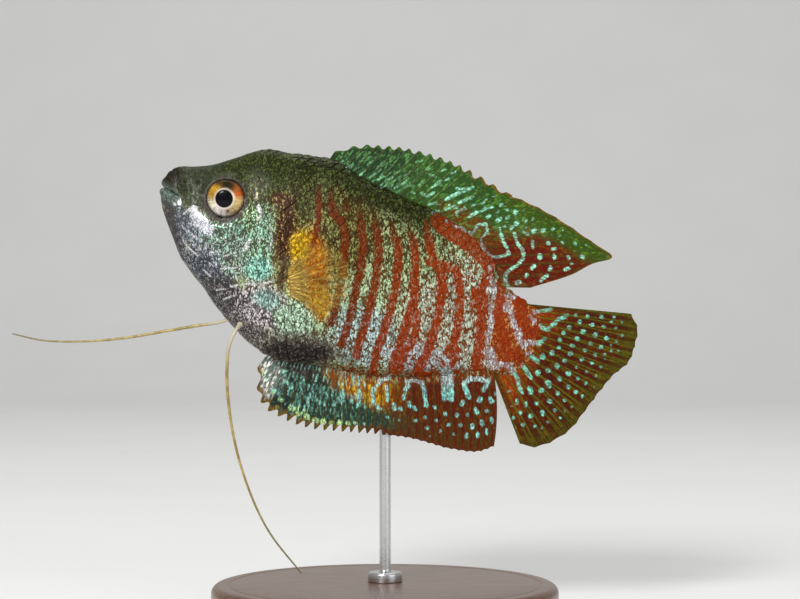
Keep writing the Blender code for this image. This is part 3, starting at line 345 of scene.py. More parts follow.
# Turquoise and lilac marks: half width, then points counted right and down in steps from a corner (x, z)
blueMarks = [
    {"x": 2.25, "z": 65.55, "step": 0.0268, "lines": [   # rear of the dorsal fin and tail stalk
        (0.22, 330, 262, 372, 292, 405, 300, 440, 248, 482, 252, 490, 290, 455, 325, 455, 365, 480, 400, 512, 430,
         560, 430, 612, 414, 600, 385, 580, 350, 566, 310, 556, 268), (0.18, 512, 430, 510, 475, 500, 505),
        (0.2, 250, 235, 300, 262, 330, 262),
        (0.26, 640, 300, 660, 360, 690, 400, 690, 440, 660, 475, 620, 500, 590, 525, 590, 566, 604, 590),
        (0.28, 742, 342, 744, 378), (0.32, 782, 420, 782, 440), (0.30, 740, 494, 750, 484),
        (0.32, 700, 544, 708, 534), (0.34, 654, 576, 668, 570), (0.26, 828, 352, 832, 362),
        (0.20, 852, 388, 874, 384), (0.28, 862, 422, 864, 440), (0.30, 834, 502, 842, 492),
        (0.28, 786, 564, 822, 536), (0.24, 905, 346, 914, 356), (0.26, 942, 430, 946, 436),
        (0.22, 958, 466, 960, 468), (0.28, 926, 502, 944, 494), (0.22, 976, 352, 984, 364),
        (0.24, 1016, 430, 1026, 434), (0.12, 1040, 366, 1042, 368), (0.12, 1086, 430, 1096, 432),
        (0.24, 196, 28, 236, 4), (0.24, 256, 112, 308, 86), (0.22, 330, 128, 372, 112), (0.20, 150, 92, 190, 70),
        (0.20, 160, 138, 206, 128), (0.22, 180, 186, 216, 176), (0.22, 256, 166, 300, 148),
        (0.22, 318, 180, 362, 160), (0.26, 386, 206, 428, 184), (0.20, 392, 104, 408, 94), (0.22, 406, 146, 424, 136),
        (0.24, 456, 176, 478, 164), (0.26, 490, 208, 500, 200), (0.20, 506, 158, 516, 152),
        (0.18, 458, 134, 470, 128), (0.24, 540, 184, 550, 176), (0.18, 560, 144, 570, 138),
        (0.24, 596, 172, 604, 168), (0.26, 548, 226, 562, 214), (0.26, 598, 218, 606, 210),
        (0.32, 640, 190, 650, 178), (0.16, 686, 174, 694, 168), (0.34, 646, 250, 656, 238),
        (0.26, 620, 272, 628, 262), (0.24, 702, 236, 708, 226), (0.24, 738, 224, 746, 216),
        (0.14, 704, 266, 706, 268), (0.28, 742, 290, 756, 280), (0.20, 714, 304, 722, 298),
        (0.26, 798, 284, 806, 278), (0.16, 804, 316, 808, 318), (0.22, 852, 280, 860, 272),
        (0.14, 846, 308, 850, 312), (0.22, 884, 318, 896, 314), (0.12, 908, 282, 912, 284),
        (0.14, 944, 316, 948, 320), (0.20, 580, 262, 588, 256), (0.18, 690, 292, 700, 298), (0.14, 520, 96, 526, 94),
        (0.16, 480, 112, 486, 108), (0.26, 600, 652, 636, 656),
        (0.36, 600, 690, 618, 740, 630, 800, 655, 842, 670, 892, 692, 930, 722, 912),
        (0.30, 502, 545, 524, 592, 520, 650, 496, 720, 514, 790, 492, 850, 488, 910), (0.85, 500, 965, 506, 1010),
        (0.50, 500, 1010, 540, 1040), (0.34, 560, 1030, 612, 1040, 636, 1082), (0.20, 490, 600, 486, 640),
        (0.20, 588, 696, 584, 726),
    ]},
    {"x": 17.25, "z": 47.85, "step": 0.01474, "lines": [   # tail fin
        (0.22, 520, 118, 470, 130, 350, 140, 310, 190, 345, 240),
        (0.24, 400, 280, 480, 325, 540, 270, 600, 215, 690, 175), (0.28, 300, 455, 400, 465, 455, 415),
        (0.30, 285, 565, 340, 610, 380, 640), (0.34, 430, 600, 440, 592), (0.28, 524, 570, 534, 548),
        (0.28, 597, 508), (0.24, 607, 430), (0.28, 645, 360), (0.32, 702, 305), (0.28, 225, 680, 270, 750, 320, 810),
        (0.32, 385, 765), (0.34, 487, 742), (0.37, 580, 695), (0.34, 660, 640), (0.32, 718, 570), (0.32, 735, 485),
        (0.32, 787, 415), (0.31, 845, 345), (0.31, 803, 250), (0.20, 770, 180), (0.24, 165, 800, 190, 880, 225, 960),
        (0.32, 298, 925, 312, 960), (0.37, 417, 942), (0.34, 492, 862, 500, 896), (0.35, 603, 832), (0.35, 700, 770),
        (0.24, 780, 705), (0.28, 835, 627), (0.26, 863, 535), (0.31, 922, 460), (0.33, 970, 377), (0.31, 940, 270),
        (0.28, 890, 190), (0.18, 90, 950), (0.25, 172, 1040, 172, 1066), (0.27, 266, 1070, 266, 1094),
        (0.31, 373, 1072), (0.33, 497, 1055), (0.31, 590, 973), (0.29, 695, 900), (0.25, 790, 822), (0.22, 880, 750),
        (0.22, 935, 665), (0.22, 970, 580), (0.27, 1028, 500), (0.31, 1088, 410), (0.28, 1060, 290),
        (0.27, 1035, 190), (0.14, 115, 1100), (0.24, 205, 1172), (0.31, 313, 1200), (0.26, 433, 1164, 433, 1184),
        (0.24, 558, 1142), (0.22, 660, 1042), (0.20, 773, 960), (0.20, 875, 868), (0.12, 975, 798), (0.14, 1030, 705),
        (0.14, 1070, 625), (0.16, 1065, 575), (0.16, 1130, 540), (0.15, 1130, 485), (0.22, 1187, 443),
        (0.20, 1180, 305), (0.16, 1135, 245), (0.20, 1165, 195), (0.13, 135, 1220), (0.26, 237, 1290),
        (0.24, 350, 1302), (0.20, 485, 1262), (0.16, 616, 1222), (0.15, 728, 1110), (0.13, 835, 1000),
        (0.11, 960, 905), (0.12, 1245, 385), (0.11, 1245, 250), (0.13, 427, 1322), (0.12, 660, 1150),
        (0.10, 1210, 540),
    ]},
    {"x": -19.5, "z": 40.8, "step": 0.02392, "lines": [   # anal fin
        (0.34, 1345, 330, 1325, 290, 1310, 240, 1350, 210, 1400, 215, 1460, 225), (0.30, 1465, 230, 1430, 285),
        (0.30, 1296, 372, 1306, 358), (0.34, 1404, 352, 1412, 338), (0.30, 1476, 338, 1484, 354),
        (0.16, 1508, 300, 1508, 316), (0.40, 1165, 60, 1200, 100), (0.34, 1175, 150, 1180, 240, 1188, 340),
        (0.42, 1205, 130, 1208, 330), (0.34, 1228, 150, 1228, 240, 1232, 340), (0.26, 1380, 400, 1392, 424),
        (0.27, 1452, 415), (0.28, 1330, 438), (0.30, 1265, 440), (0.30, 1193, 430), (0.27, 1130, 390),
        (0.27, 1070, 455), (0.27, 1140, 475), (0.27, 1218, 500), (0.27, 1290, 505), (0.26, 1362, 500, 1362, 516),
        (0.27, 1422, 480, 1422, 496), (0.20, 1480, 460, 1484, 484), (0.25, 1080, 518), (0.20, 1162, 538),
        (0.25, 1245, 562), (0.23, 1325, 560, 1325, 580), (0.21, 1396, 556, 1396, 574), (0.16, 1452, 532, 1452, 552),
        (0.10, 1095, 570), (0.20, 1003, 475), (0.17, 832, 455), (0.12, 905, 470), (0.30, 940, 282, 965, 255),
        (0.32, 1000, 225, 1050, 240, 1065, 300, 1072, 380), (0.24, 950, 230, 1000, 222), (0.22, 934, 335, 940, 300),
        (0.30, 962, 365, 968, 385), (0.24, 998, 392, 1008, 408), (0.28, 780, 225, 825, 215, 845, 195),
        (0.28, 745, 270, 740, 330, 745, 370, 785, 400), (0.24, 825, 265, 830, 350), (0.22, 800, 235, 760, 255),
        (0.28, 868, 375, 874, 405), (0.22, 908, 396, 912, 408), (0.24, 655, 200, 655, 250),
        (0.28, 655, 280, 652, 380), (0.28, 550, 285, 555, 350), (0.20, 485, 375, 500, 378),
        (0.16, 598, 350, 606, 358), (0.22, 445, 300, 455, 330), (0.14, 360, 260, 365, 300),
        (0.14, 330, 340, 335, 380), (0.12, 300, 200, 315, 250), (0.12, 240, 190, 250, 220),
        (0.20, 175, 165, 190, 195), (0.14, 200, 230, 215, 270), (0.12, 290, 270, 300, 310),
        (0.12, 380, 320, 384, 350), (0.12, 400, 350, 405, 370), (0.12, 262, 300, 268, 330),
        (0.12, 520, 330, 530, 360), (0.10, 430, 360, 436, 380), (0.12, 232, 260, 240, 290),
        (0.10, 345, 300, 350, 330), (0.24, 540, 110, 590, 60), (0.30, 118, 278, 126, 284), (0.34, 162, 338, 170, 346),
        (0.38, 228, 388, 234, 392), (0.32, 275, 430), (0.32, 322, 446, 330, 452), (0.30, 376, 470, 384, 473),
        (0.30, 430, 482), (0.31, 480, 488), (0.30, 533, 488), (0.27, 585, 490), (0.20, 630, 492), (0.17, 685, 495),
    ]},
    {"x": -9.0, "z": 71.55, "step": 0.02105, "lines": [   # middle of the dorsal fin
        (0.16, 500, 345, 580, 295), (0.13, 615, 375, 640, 385), (0.24, 690, 380, 720, 398, 735, 402),
        (0.14, 655, 245, 670, 235), (0.22, 745, 245, 790, 265), (0.26, 762, 340, 822, 310),
        (0.20, 855, 290, 880, 278), (0.28, 862, 425, 900, 404, 960, 378), (0.22, 930, 345, 1000, 352),
        (0.24, 985, 372, 1055, 340), (0.26, 890, 470, 935, 482), (0.20, 775, 455, 820, 462),
        (0.18, 800, 515, 812, 510), (0.13, 560, 262, 600, 240), (0.12, 430, 290, 480, 262),
        (0.14, 380, 285, 420, 262), (0.12, 320, 270, 360, 240), (0.12, 250, 250, 290, 215),
        (0.12, 215, 215, 250, 190), (0.12, 150, 205, 200, 165), (0.12, 105, 165, 130, 150),
        (0.12, 300, 180, 340, 150), (0.12, 395, 340, 440, 330), (0.14, 660, 330, 700, 300),
        (0.12, 650, 160, 690, 150), (0.14, 720, 210, 745, 200), (0.16, 830, 220, 860, 212),
        (0.14, 590, 330, 640, 330), (0.14, 930, 520, 945, 548), (0.14, 850, 575, 870, 600),
        (0.18, 900, 240, 930, 228),
    ]},
]
# Lines of the head by colour, x and z in millimetres in the frame: half width, then x, z, x, z...
coverLines = [   # turquoise streaks of the gill cover
    (0.22, -21.5, 57.9, -20.8, 58.6), (0.16, -24.0, 55.0, -23.3, 55.3), (0.13, -21.1, 51.9, -19.2, 53.9),
    (0.13, -20.6, 51.6, -18.9, 53.3), (0.14, -17.4, 53.1, -16.7, 52.1, -17.4, 50.7),
    (0.16, -18.1, 59.3, -18.0, 57.8, -18.3, 56.9), (0.15, -19.6, 57.6, -20.1, 56.5), (0.20, -18.7, 54.8, -18.0, 53.6),
    (0.12, -24.2, 57.6, -23.6, 57.0), (0.13, -22.6, 58.9, -21.9, 59.4),
]
creamLines = [   # warm pale flecks behind the eye and on the throat
    (0.16, -19.1, 63.8, -18.9, 62.5), (0.13, -20.9, 62.7, -20.6, 62.1), (0.12, -21.3, 61.0, -20.9, 60.3),
    (0.14, -18.8, 60.0, -18.8, 58.9), (0.13, -27.6, 55.8, -27.4, 55.2), (0.12, -22.3, 53.5, -22.4, 52.7),
]
# Head streaks: silvery scale edges, with their highlights painted in white
headHighlightLines = [
    (0.26, -17.2, 38.1, -17.6, 37.1, -18.1, 36.2), (0.12, -18.0, 39.3, -17.3, 39.0), (0.14, -16.5, 37.6, -16.9, 36.4),
    (0.46, -28.6, 60.7, -27.6, 59.4, -26.9, 58.5, -26.2, 58.1), (0.42, -26.6, 58.4, -25.7, 58.1),
    (0.15, -29.9, 60.4, -28.4, 61.5, -27.9, 61.3), (0.26, -30.6, 62.4, -30.7, 61.9), (0.14, -31.4, 61.9, -31.3, 61.7),
    (0.11, -30.2, 58.7, -29.9, 58.1), (0.11, -29.2, 59.0, -28.2, 58.6), (0.13, -29.2, 57.9, -28.3, 56.8),
    (0.12, -30.1, 56.3, -29.2, 55.3, -27.9, 54.1), (0.18, -27.3, 56.6, -27.2, 56.5),
    (0.09, -26.6, 55.9, -25.3, 55.9, -24.7, 56.6), (0.11, -26.0, 54.5, -24.6, 54.8), (0.12, -26.0, 53.0, -25.8, 52.8),
    (0.12, -25.1, 53.2, -25.0, 52.8), (0.09, -24.5, 52.1, -23.2, 52.3, -21.9, 52.3, -21.4, 52.7),
    (0.08, -23.7, 54.0, -22.6, 54.5), (0.30, -20.7, 54.9, -20.4, 55.5), (0.24, -20.4, 55.6, -20.0, 56.4),
    (0.20, -18.7, 61.5, -18.6, 61.0), (0.24, -18.6, 60.9, -18.3, 60.3), (0.10, -18.5, 59.9, -18.4, 59.0),
    (0.10, -18.2, 57.6, -18.5, 56.0), (0.10, -25.0, 49.0, -23.6, 49.2), (0.12, -22.9, 49.5, -20.9, 49.9, -19.0, 49.9),
    (0.12, -18.4, 49.9, -15.8, 50.4), (0.11, -23.9, 47.7, -22.3, 48.2), (0.10, -20.5, 46.7, -18.6, 47.6),
    (0.10, -18.0, 45.2, -16.2, 46.6), (0.10, -15.4, 46.2, -14.2, 47.7), (0.09, -21.5, 44.6, -20.2, 45.2),
    (0.10, -17.4, 53.6, -16.4, 52.2), (0.09, -27.0, 52.0, -25.9, 51.0), (0.10, -16.9, 58.2, -16.6, 56.6, -17.0, 54.8),
    (0.08, -22.6, 57.7, -21.9, 56.8), (0.08, -23.6, 56.4, -22.8, 55.4),
]
# Colour and firmness of these lines
lineSets = [("coverLine", 0.5, coverLines), ("creamLine", 0.6, creamLines), ("highlightWhite", 1.0, headHighlightLines)]
patchColours = {
    "redFront": "682402", "redRear": "882c00", "redBack": "34260a", "blueBody": "bcc6c8", "blueLow": "a0d0d0",
    # the white of the head streaks is a painted highlight on silvery skin
    "highlightWhite": "f6f4f6", "greyMark": "90b0a8", "coverLine": "a8e4cc", "creamLine": "d8d2b4",
    # rim and rimBright: the dark ring round the eye, with painted shadow below it
    "backDark": "20220c", "backBright": "4a5626", "under": "742c04", "underBright": "949870", "rim": "403c36",
                "rimBright": "5c5750",
}
finColours = {   # marks in front and behind, rays, margin in front and behind, how far the margin reaches, base
    "dorsal": {"front": "7cb888", "rear": "98dcc0", "ray": "3c4412", "marginFront": "3c5a20", "marginRear": "74500e",
               "margin": 0.55, "grow": 0.0, "base": ("3f5a24", "56783a", 0.4, 0.1, 0.42)},
    "anal": {"front": "84bcae", "rear": "80d0c6", "ray": "44380c", "marginFront": "66501a", "marginRear": "5c1a06",
             "margin": 1.2, "grow": 0.04, "bead": "bce49c", "base": ("3c3a20", "5c6a40", 0.4, 0.1, 0.42)},
    "caudal": {"front": "84d0bc", "rear": "78ccb4", "ray": "545a08", "marginFront": "402a04", "marginRear": "402a04",
               "margin": 2.6, "grow": 0.06, "base": ("541804", "682c06", 0.4, 0.05, 0.44)},
}


def allMarks():   # the marks as half width, s, t, s, t...
    marks = []
    for grid in blueMarks:
        for half, *steps in grid["lines"]:
            x = grid["x"] + np.array(steps[::2]) * grid["step"]
            z = grid["z"] - np.array(steps[1::2]) * grid["step"]
            path = toFish(np.stack([x, 0 * x, z], 1) * 0.001)
            marks.append((half, *path[:, [0, 2]].ravel()))
    return marks


def wobble(s, t):   # slow, even waves that keep the zones from looking drawn
    waves = ((1.7, 0.9, 0.0, 0.5), (0.8, -2.1, 1.3, 0.3), (3.1, 2.3, 0.4, 0.2))   # along s, along t, start, size
    return sum(np.sin(a * s + b * t + start) * size for a, b, start, size in waves)


def finOut(part, s, t):   # distance outward from the edge of the body
    line, sign = (topLine, 1) if part == "dorsal" else (bottomLine, -1)
    return sign * (t - np.interp(s, line[:, 0], line[:, 1]))


def zoneColours(s, t, zones, base):
    dark = np.tile(paint(base[0]), (len(s), 1))
    bright = np.tile(paint(base[1]), (len(s), 1))
    rest = np.tile(np.array(base[2:], float), (len(s), 1))
    for zs, zt, rs, rt, lean, darkCode, brightCode, *values in zones:
        turn = math.radians(lean)
        ds, dt = s - zs, t - zt
        d = np.hypot((ds * math.cos(turn) + dt * math.sin(turn)) / rs, (dt * math.cos(turn) - ds * math.sin(turn)) / rt)
        w = ease(1.40, 0.66, d + 0.12 * wobble(s, t))[:, None]
        dark += (paint(darkCode) - dark) * w
        bright += (paint(brightCode) - bright) * w
        rest += (np.array(values) - rest) * w
    return dark, bright, rest


def toward(colours, code, share):   # mixes the colours towards one, in place
    colours += (paint(code) - colours) * share[:, None]


# Stores the colours and pattern distances that the materials read
def markings(mesh, points, part, dots=(), marks=None):
    s, _, t = points.T
    look = patchColours
    zones = {"body": bodyZones, "dorsal": dorsalZones, "anal": analZones, "caudal": caudalZones}[part]
    base = ("6a5a30", "9fb98a", 0.5, 0.3, 0.36) if part == "body" else finColours[part]["base"]
    dark, bright, rest = zoneColours(s, t, zones, base)
    blue = nearStroke(s, t, [*allMarks(), *dots])
    redColour = np.tile(paint(look["redFront"]), (len(s), 1))
    toward(redColour, look["redRear"], ease(30, 42, s))
    if part == "body":
        red = nearStroke(s, t, redBars) - 0.04 - 0.08 * ease(32, 38, s)
        blue -= 0.14 * ease(50, 53, s)
        top = np.interp(s, topLine[:, 0], topLine[:, 1])
        low = np.interp(s, bottomLine[:, 0], bottomLine[:, 1])
        back = ease(5.5, 2.0, top - t + 0.5 * wobble(s, t)) * ease(6, 12, s) * ease(46, 38, s)
        toward(dark, look["backDark"], back)
        toward(bright, look["backBright"], back)
        rest[:, 0] += (0.40 - rest[:, 0]) * back
        toward(redColour, look["redBack"], ease(8.0, 3.2, top - t) * ease(42, 36, s))
        red += 0.75 * ease(6.0, 2.4, top - t) * ease(42, 36, s)
        blueColour = np.tile(paint(look["blueBody"]), (len(s), 1))
        toward(blueColour, look["blueLow"], ease(-6.0, -10.0, t) * 0.6)
        under = ease(1.8, 0.1, t - low + 0.6 * wobble(s, t)) * ease(30, 37, s)
        toward(dark, look["under"], under)
        toward(bright, look["underBright"], under)
        rest[:, 0] += (0.42 - rest[:, 0]) * under
        # Dark ring round the eye; below the eye it is widened into a painted shadow under the orbit's rim
        below = t - eye["t"]
        r = np.hypot(s - eye["s"], below) - 0.45 * ease(0.5, -2.5, below)
        rim = ease(3.45, 3.10, r) * (s < eye["rearLimit"])
        toward(dark, look["rim"], rim)
        toward(bright, look["rimBright"], rim)
        rest[:, 1] *= 1 - 0.8 * rim
    else:
        look = finColours[part]
        red = np.full(len(s), 5.0)
        blueColour = np.tile(paint(look["rear"]), (len(s), 1))
        toward(blueColour, look["front"], ease(46, 34, s))
        blue -= look["grow"]
        if part == "dorsal":
            toward(blueColour, patchColours["greyMark"], ease(2.6, 0.6, finOut(part, s, t)) * ease(42, 46, s) * 0.8)
    head = s < 25
    solid = np.zeros(len(s))
    x, _, z = toFrame(np.stack([s, 0 * s, t], 1)[head]).T * 1000
    for code, firmness, lines in lineSets:
        near = np.full(len(s), 5.0)
        near[head] = nearStroke(x, z, lines)
        solid = np.maximum(solid * (near > blue), firmness * ease(0.15, -0.15, near - blue))
        blueColour[near < blue] = paint(patchColours[code])
        blue = np.minimum(blue, near)
    if marks is not None:
        ray, edge = marks
        if part == "anal":
            beads = ease(2.6, 1.6, edge) * ease(42, 38, s)
            blue -= 0.12 * beads
            toward(blueColour, look["bead"], beads)
            toward(blueColour, patchColours["blueBody"], ease(3.0, 0.6, finOut(part, s, t)) * ease(38, 43, s) * 0.75)
            root = ease(1.8, 0.2, finOut(part, s, t)) * ease(32, 37, s) * 0.8
            toward(dark, patchColours["under"], root)
            toward(bright, patchColours["underBright"], root)
        margin = np.tile(paint(look["marginFront"]), (len(s), 1))
        toward(margin, look["marginRear"], ease(38, 46, s))
        w = (ease(look["margin"], 0.3 * look["margin"], edge) * 0.92)[:, None]
        dark += (margin - dark) * w
        bright += (margin * 1.35 - bright) * w
        toward(dark, look["ray"], ray * 0.85)
        toward(bright, look["ray"], ray * 0.75)
    alpha = np.ones((len(s), 1))
    for name, colour in (("dark", dark), ("bright", bright), ("redPaint", redColour), ("bluePaint", blueColour)):
        store(mesh, name, "FLOAT_COLOR", np.hstack([colour, alpha]))
    store(mesh, "pattern", "FLOAT_VECTOR", np.stack([red, blue, rest[:, 0]], 1))
    store(mesh, "finish", "FLOAT_VECTOR", np.stack([rest[:, 1], rest[:, 2], solid], 1))


# Node helpers
def add(tree, kind, inputs=None, **settings):   # a node; each input is a value or a socket to link
    node = tree.nodes.new(kind)
    for key, value in settings.items():
        setattr(node, key, value)
    for key, value in (inputs or {}).items():
        if isinstance(value, bpy.types.NodeSocket):
            tree.links.new(value, node.inputs[key])
        else:
            node.inputs[key].default_value = value
    return node


def maths(tree, operation, *values):
    return add(tree, "ShaderNodeMath", dict(enumerate(values)), operation=operation).outputs[0]


def plus(tree, first, second):
    return maths(tree, "ADD", first, second)


def minus(tree, first, second):
    return maths(tree, "SUBTRACT", first, second)


def times(tree, first, second):
    return maths(tree, "MULTIPLY", first, second)


def swing(tree, value, size):   # the value's swing about a half, times size
    return times(tree, minus(tree, value, 0.5), size)


def vector(tree, operation, value, scale=None):
    inputs = {0: value} if scale is None else {0: value, "Scale": scale}
    return add(tree, "ShaderNodeVectorMath", inputs, operation=operation).outputs


def split(tree, value):
    return add(tree, "ShaderNodeSeparateXYZ", {0: value}).outputs


def span(tree, value, low, high, toLow=0.0, toHigh=1.0):   # smooth step; low may be the larger
    ends = {0: value, 1: low, 2: high, 3: toLow, 4: toHigh}
    return add(tree, "ShaderNodeMapRange", ends, interpolation_type="SMOOTHSTEP").outputs[0]


def mixed(tree, share, first, second, blend="MIX"):
    return add(tree, "ShaderNodeMix", {0: share, 6: first, 7: second}, data_type="RGBA", blend_type=blend).outputs[2]


def tinted(tree, colour, shade):   # the colour times a grey of that shade
    grey = add(tree, "ShaderNodeCombineColor", {0: shade, 1: shade, 2: shade}).outputs[0]
    return mixed(tree, 1.0, colour, grey, "MULTIPLY")


def noise(tree, place, scale, detail=2.0, rough=0.5):
    return add(tree, "ShaderNodeTexNoise", {"Vector": place, "Scale": scale, "Detail": detail,
                                            "Roughness": rough}).outputs[0]


def attribute(tree, name):
    return add(tree, "ShaderNodeAttribute", attribute_name=name)


def newGroup(name, inputs, outputs):
    tree = bpy.data.node_groups.new(name, "ShaderNodeTree")
    for label, kind, value in inputs:
        socket = tree.interface.new_socket(label, in_out="INPUT", socket_type="NodeSocket" + kind)
        if value is not None:
            socket.default_value = value
    for label, kind in outputs:
        tree.interface.new_socket(label, in_out="OUTPUT", socket_type="NodeSocket" + kind)
    return tree, tree.nodes.new("NodeGroupInput").outputs, tree.nodes.new("NodeGroupOutput").inputs


def newMaterial(name, values):
    material = bpy.data.materials.new(name)
    material.use_nodes = True
    tree = material.node_tree
    shader = tree.nodes["Principled BSDF"]
    for key, value in values.items():
        shader.inputs[key].default_value = value
    return material, tree, shader


def plug(tree, source, socket):
    tree.links.new(source, socket)


def roughen(tree, shader, height, strength, distance):   # bump on the shader's normal
    relief = add(tree, "ShaderNodeBump", {"Height": height, "Strength": strength, "Distance": distance})
    plug(tree, relief.outputs[0], shader.inputs["Normal"])


def finishOf(tree):   # metal, roughness and firmness of the marks
    return split(tree, attribute(tree, "finish").outputs["Vector"])


def makePaintGroup():
    tree, put, out = newGroup(
        "fishPaint",
        [*((label, "Color", None) for label in ("Dark", "Bright", "Red", "Blue")),
         *((label, "Vector", None) for label in ("Pattern", "Place", "Grain")),
         ("Fleck Size", "Float", 0.4), ("Ragged", "Float", 0.5), ("Sparkle", "Float", 0.3), ("Solid", "Float", 0.0)],
        [("Colour", "Color"), ("Fleck", "Float"), ("Red Mask", "Float"), ("Height", "Float")],
    )
    fields = split(tree, put["Pattern"])
    scale = maths(tree, "DIVIDE", 1.0, put["Fleck Size"])
    rough = noise(tree, put["Grain"], scale, 2.0, 0.6)
    grains, cells = (
        add(tree, "ShaderNodeTexVoronoi", {"Vector": put["Grain"], "Scale": times(tree, scale,
                                                                                  size)}) for size in (1.25, 0.52))
    fine = plus(tree, times(tree, rough, 0.50), times(tree, grains.outputs["Distance"], -0.36))
    fine = plus(tree, fine, plus(tree, times(tree, cells.outputs["Distance"], -0.26), 0.59))
    luck = add(tree, "ShaderNodeSeparateColor", {0: grains.outputs["Color"]}).outputs[0]
    slow = noise(tree, put["Place"], 0.9, 4.0, 0.65)
    grit = noise(tree, put["Grain"], times(tree, scale, 2.3), 1.0)
    ragged = noise(tree, put["Place"], 3.2, 2.0, 0.6)
    level = plus(tree, fine, swing(tree, fields[2], 0.42))
    level = plus(tree, level, swing(tree, ragged, 0.22))
    fleck = span(tree, level, 0.46, 0.58)
    shift = swing(tree, slow, put["Ragged"])
    shift = plus(tree, shift, swing(tree, ragged, 0.5))
    broken = swing(tree, rough, 0.55)
    redMask = span(tree, plus(tree, fields[0], plus(tree, shift, broken)), 0.16, -0.16)
    border = times(tree, plus(tree, shift, broken), minus(tree, 0.7, times(tree, put["Solid"], 0.12)))
    knots = times(tree, times(tree, minus(tree, cells.outputs["Distance"], 0.4), 0.45), put["Sparkle"])
    border = plus(tree, border, times(tree, knots, minus(tree, 1.0, put["Solid"])))
    blueMask = span(tree, plus(tree, fields[1], border), 0.10, -0.10)
    shade = span(tree, luck, 0.0, 1.0, 0.55, 1.30)
    colour = mixed(tree, fleck, put["Dark"], tinted(tree, put["Bright"], shade))
    redTone = mixed(tree, span(tree, rough, 0.35, 0.7), mixed(tree, 0.3, put["Red"], put["Dark"]), put["Red"])
    spark = times(tree, span(tree, fine, 0.57, 0.66), 0.26)
    redTone = mixed(tree, spark, redTone, put["Bright"])
    colour = mixed(tree, redMask, colour, redTone)
    plain = plus(tree, times(tree, ragged, 0.5), times(tree, grit, 0.5))
    sparkle = times(tree, put["Sparkle"], minus(tree, 1.0, times(tree, put["Solid"], 0.55)))
    sparkling = times(tree, minus(tree, minus(tree, fine, 0.09), plain), sparkle)
    vary = plus(tree, 1.0, times(tree, minus(tree, span(tree, luck, 0.0, 1.0, 0.72, 1.42), 1.0), sparkle))
    between = mixed(tree, 0.72, put["Blue"], put["Dark"])
    lit = span(tree, plus(tree, plain, sparkling), 0.42, 0.54)
    blueTone = mixed(tree, lit, between, tinted(tree, put["Blue"], vary))
    colour = mixed(tree, blueMask, colour, blueTone)
    plug(tree, tinted(tree, colour, span(tree, grit, 0.25, 0.75, 0.72, 1.22)), out["Colour"])
    plug(tree, maths(tree, "MAXIMUM", times(tree, fleck, minus(tree, 1.0, redMask)), blueMask), out["Fleck"])
    plug(tree, redMask, out["Red Mask"])
    plug(tree, plus(tree, fine, times(tree, grit, 0.5)), out["Height"])
    return tree


def usePaint(tree, group, place, grain, fleckSize, ragged, sparkle):
    node = add(tree, "ShaderNodeGroup", node_tree=group)
    for name, label in (("dark", "Dark"), ("bright", "Bright"), ("redPaint", "Red"), ("bluePaint", "Blue")):
        plug(tree, attribute(tree, name).outputs["Color"], node.inputs[label])
    plug(tree, attribute(tree, "pattern").outputs["Vector"], node.inputs["Pattern"])
    plug(tree, finishOf(tree)[2], node.inputs["Solid"])
    plug(tree, place, node.inputs["Place"])
    plug(tree, grain, node.inputs["Grain"])
    for label, value in (("Fleck Size", fleckSize), ("Ragged", ragged), ("Sparkle", sparkle)):
        node.inputs[label].default_value = value
    return node.outputs


def inMillimetres(tree):
    return vector(tree, "SCALE", add(tree, "ShaderNodeTexCoord").outputs["Object"], 1000.0)[0]


skinLook = {
    "fleckSize": 0.34, "headFleck": 0.25, "ragged": 0.6, "sparkle": 0.95, "coat": 0.05, "coatRoughness": 0.25,
    "bump": 0.35, "scaleBump": 0.7, "scaleEdge": 0.12, "edgeTint": (0.28, 0.22, 0.18, 1.0),
            "grainScale": (1.25, 1.0, 0.66),
}


def makeSkinMaterial(name, group, bump, plates):
    look = skinLook
    material, tree, shader = newMaterial(name, {
        "Coat Weight": look["coat"], "Coat Roughness": look["coatRoughness"], "Specular IOR Level": 0.08,
                                                "Subsurface Weight": 0.03,
    })
    shader.inputs["Subsurface Radius"].default_value = (0.001, 0.0005, 0.0003)
    place = inMillimetres(tree)
    turn = (0.0, -math.radians(pose["noseUp"]), 0.0)
    grain = add(tree, "ShaderNodeMapping", {"Vector": place, "Rotation": turn, "Scale": look["grainScale"]}).outputs[0]
    fleckSize = look["fleckSize" if plates else "headFleck"]
    coat = usePaint(tree, group, place, grain, fleckSize, look["ragged"], look["sparkle"])
    finish = finishOf(tree)
    colour = coat["Colour"]
    if plates:   # a darker free edge on every scale
        far = vector(tree, "LENGTH", attribute(tree, "plateMap").outputs["Vector"])["Value"]
        edge = times(tree, span(tree, far, 0.36, 0.48), look["scaleEdge"])
        colour = mixed(tree, edge, colour, mixed(tree, 1.0, colour, look["edgeTint"], "MULTIPLY"))
    plug(tree, colour, shader.inputs["Base Color"])
    plug(tree, times(tree, finish[0], coat["Fleck"]), shader.inputs["Metallic"])
    plug(tree, minus(tree, finish[1], times(tree, coat["Fleck"], 0.06)), shader.inputs["Roughness"])
    roughen(tree, shader, coat["Height"], bump, 0.00006)
    return material


finLook = {"fleckSize": 0.36, "ragged": 0.5, "sparkle": 0.45, "opacity": 1.0, "edgeClear": 0.05}


def makeFinMaterial(group):
    material, tree, shader = newMaterial("finMembrane", {"Coat Weight": 0.03, "Coat Roughness": 0.25,
                                                         "Specular IOR Level": 0.08})
    grain = attribute(tree, "grain").outputs["Vector"]
    coat = usePaint(tree, group, inMillimetres(tree), grain, finLook["fleckSize"], finLook["ragged"],
                    finLook["sparkle"])
    finish = finishOf(tree)
    plug(tree, coat["Colour"], shader.inputs["Base Color"])
    plug(tree, times(tree, finish[0], coat["Fleck"]), shader.inputs["Metallic"])
    plug(tree, finish[1], shader.inputs["Roughness"])
    clear = attribute(tree, "clear").outputs["Fac"]
    plug(tree, minus(tree, finLook["opacity"], clear), shader.inputs["Alpha"])
    roughen(tree, shader, coat["Height"], 0.25, 0.00005)
    return material


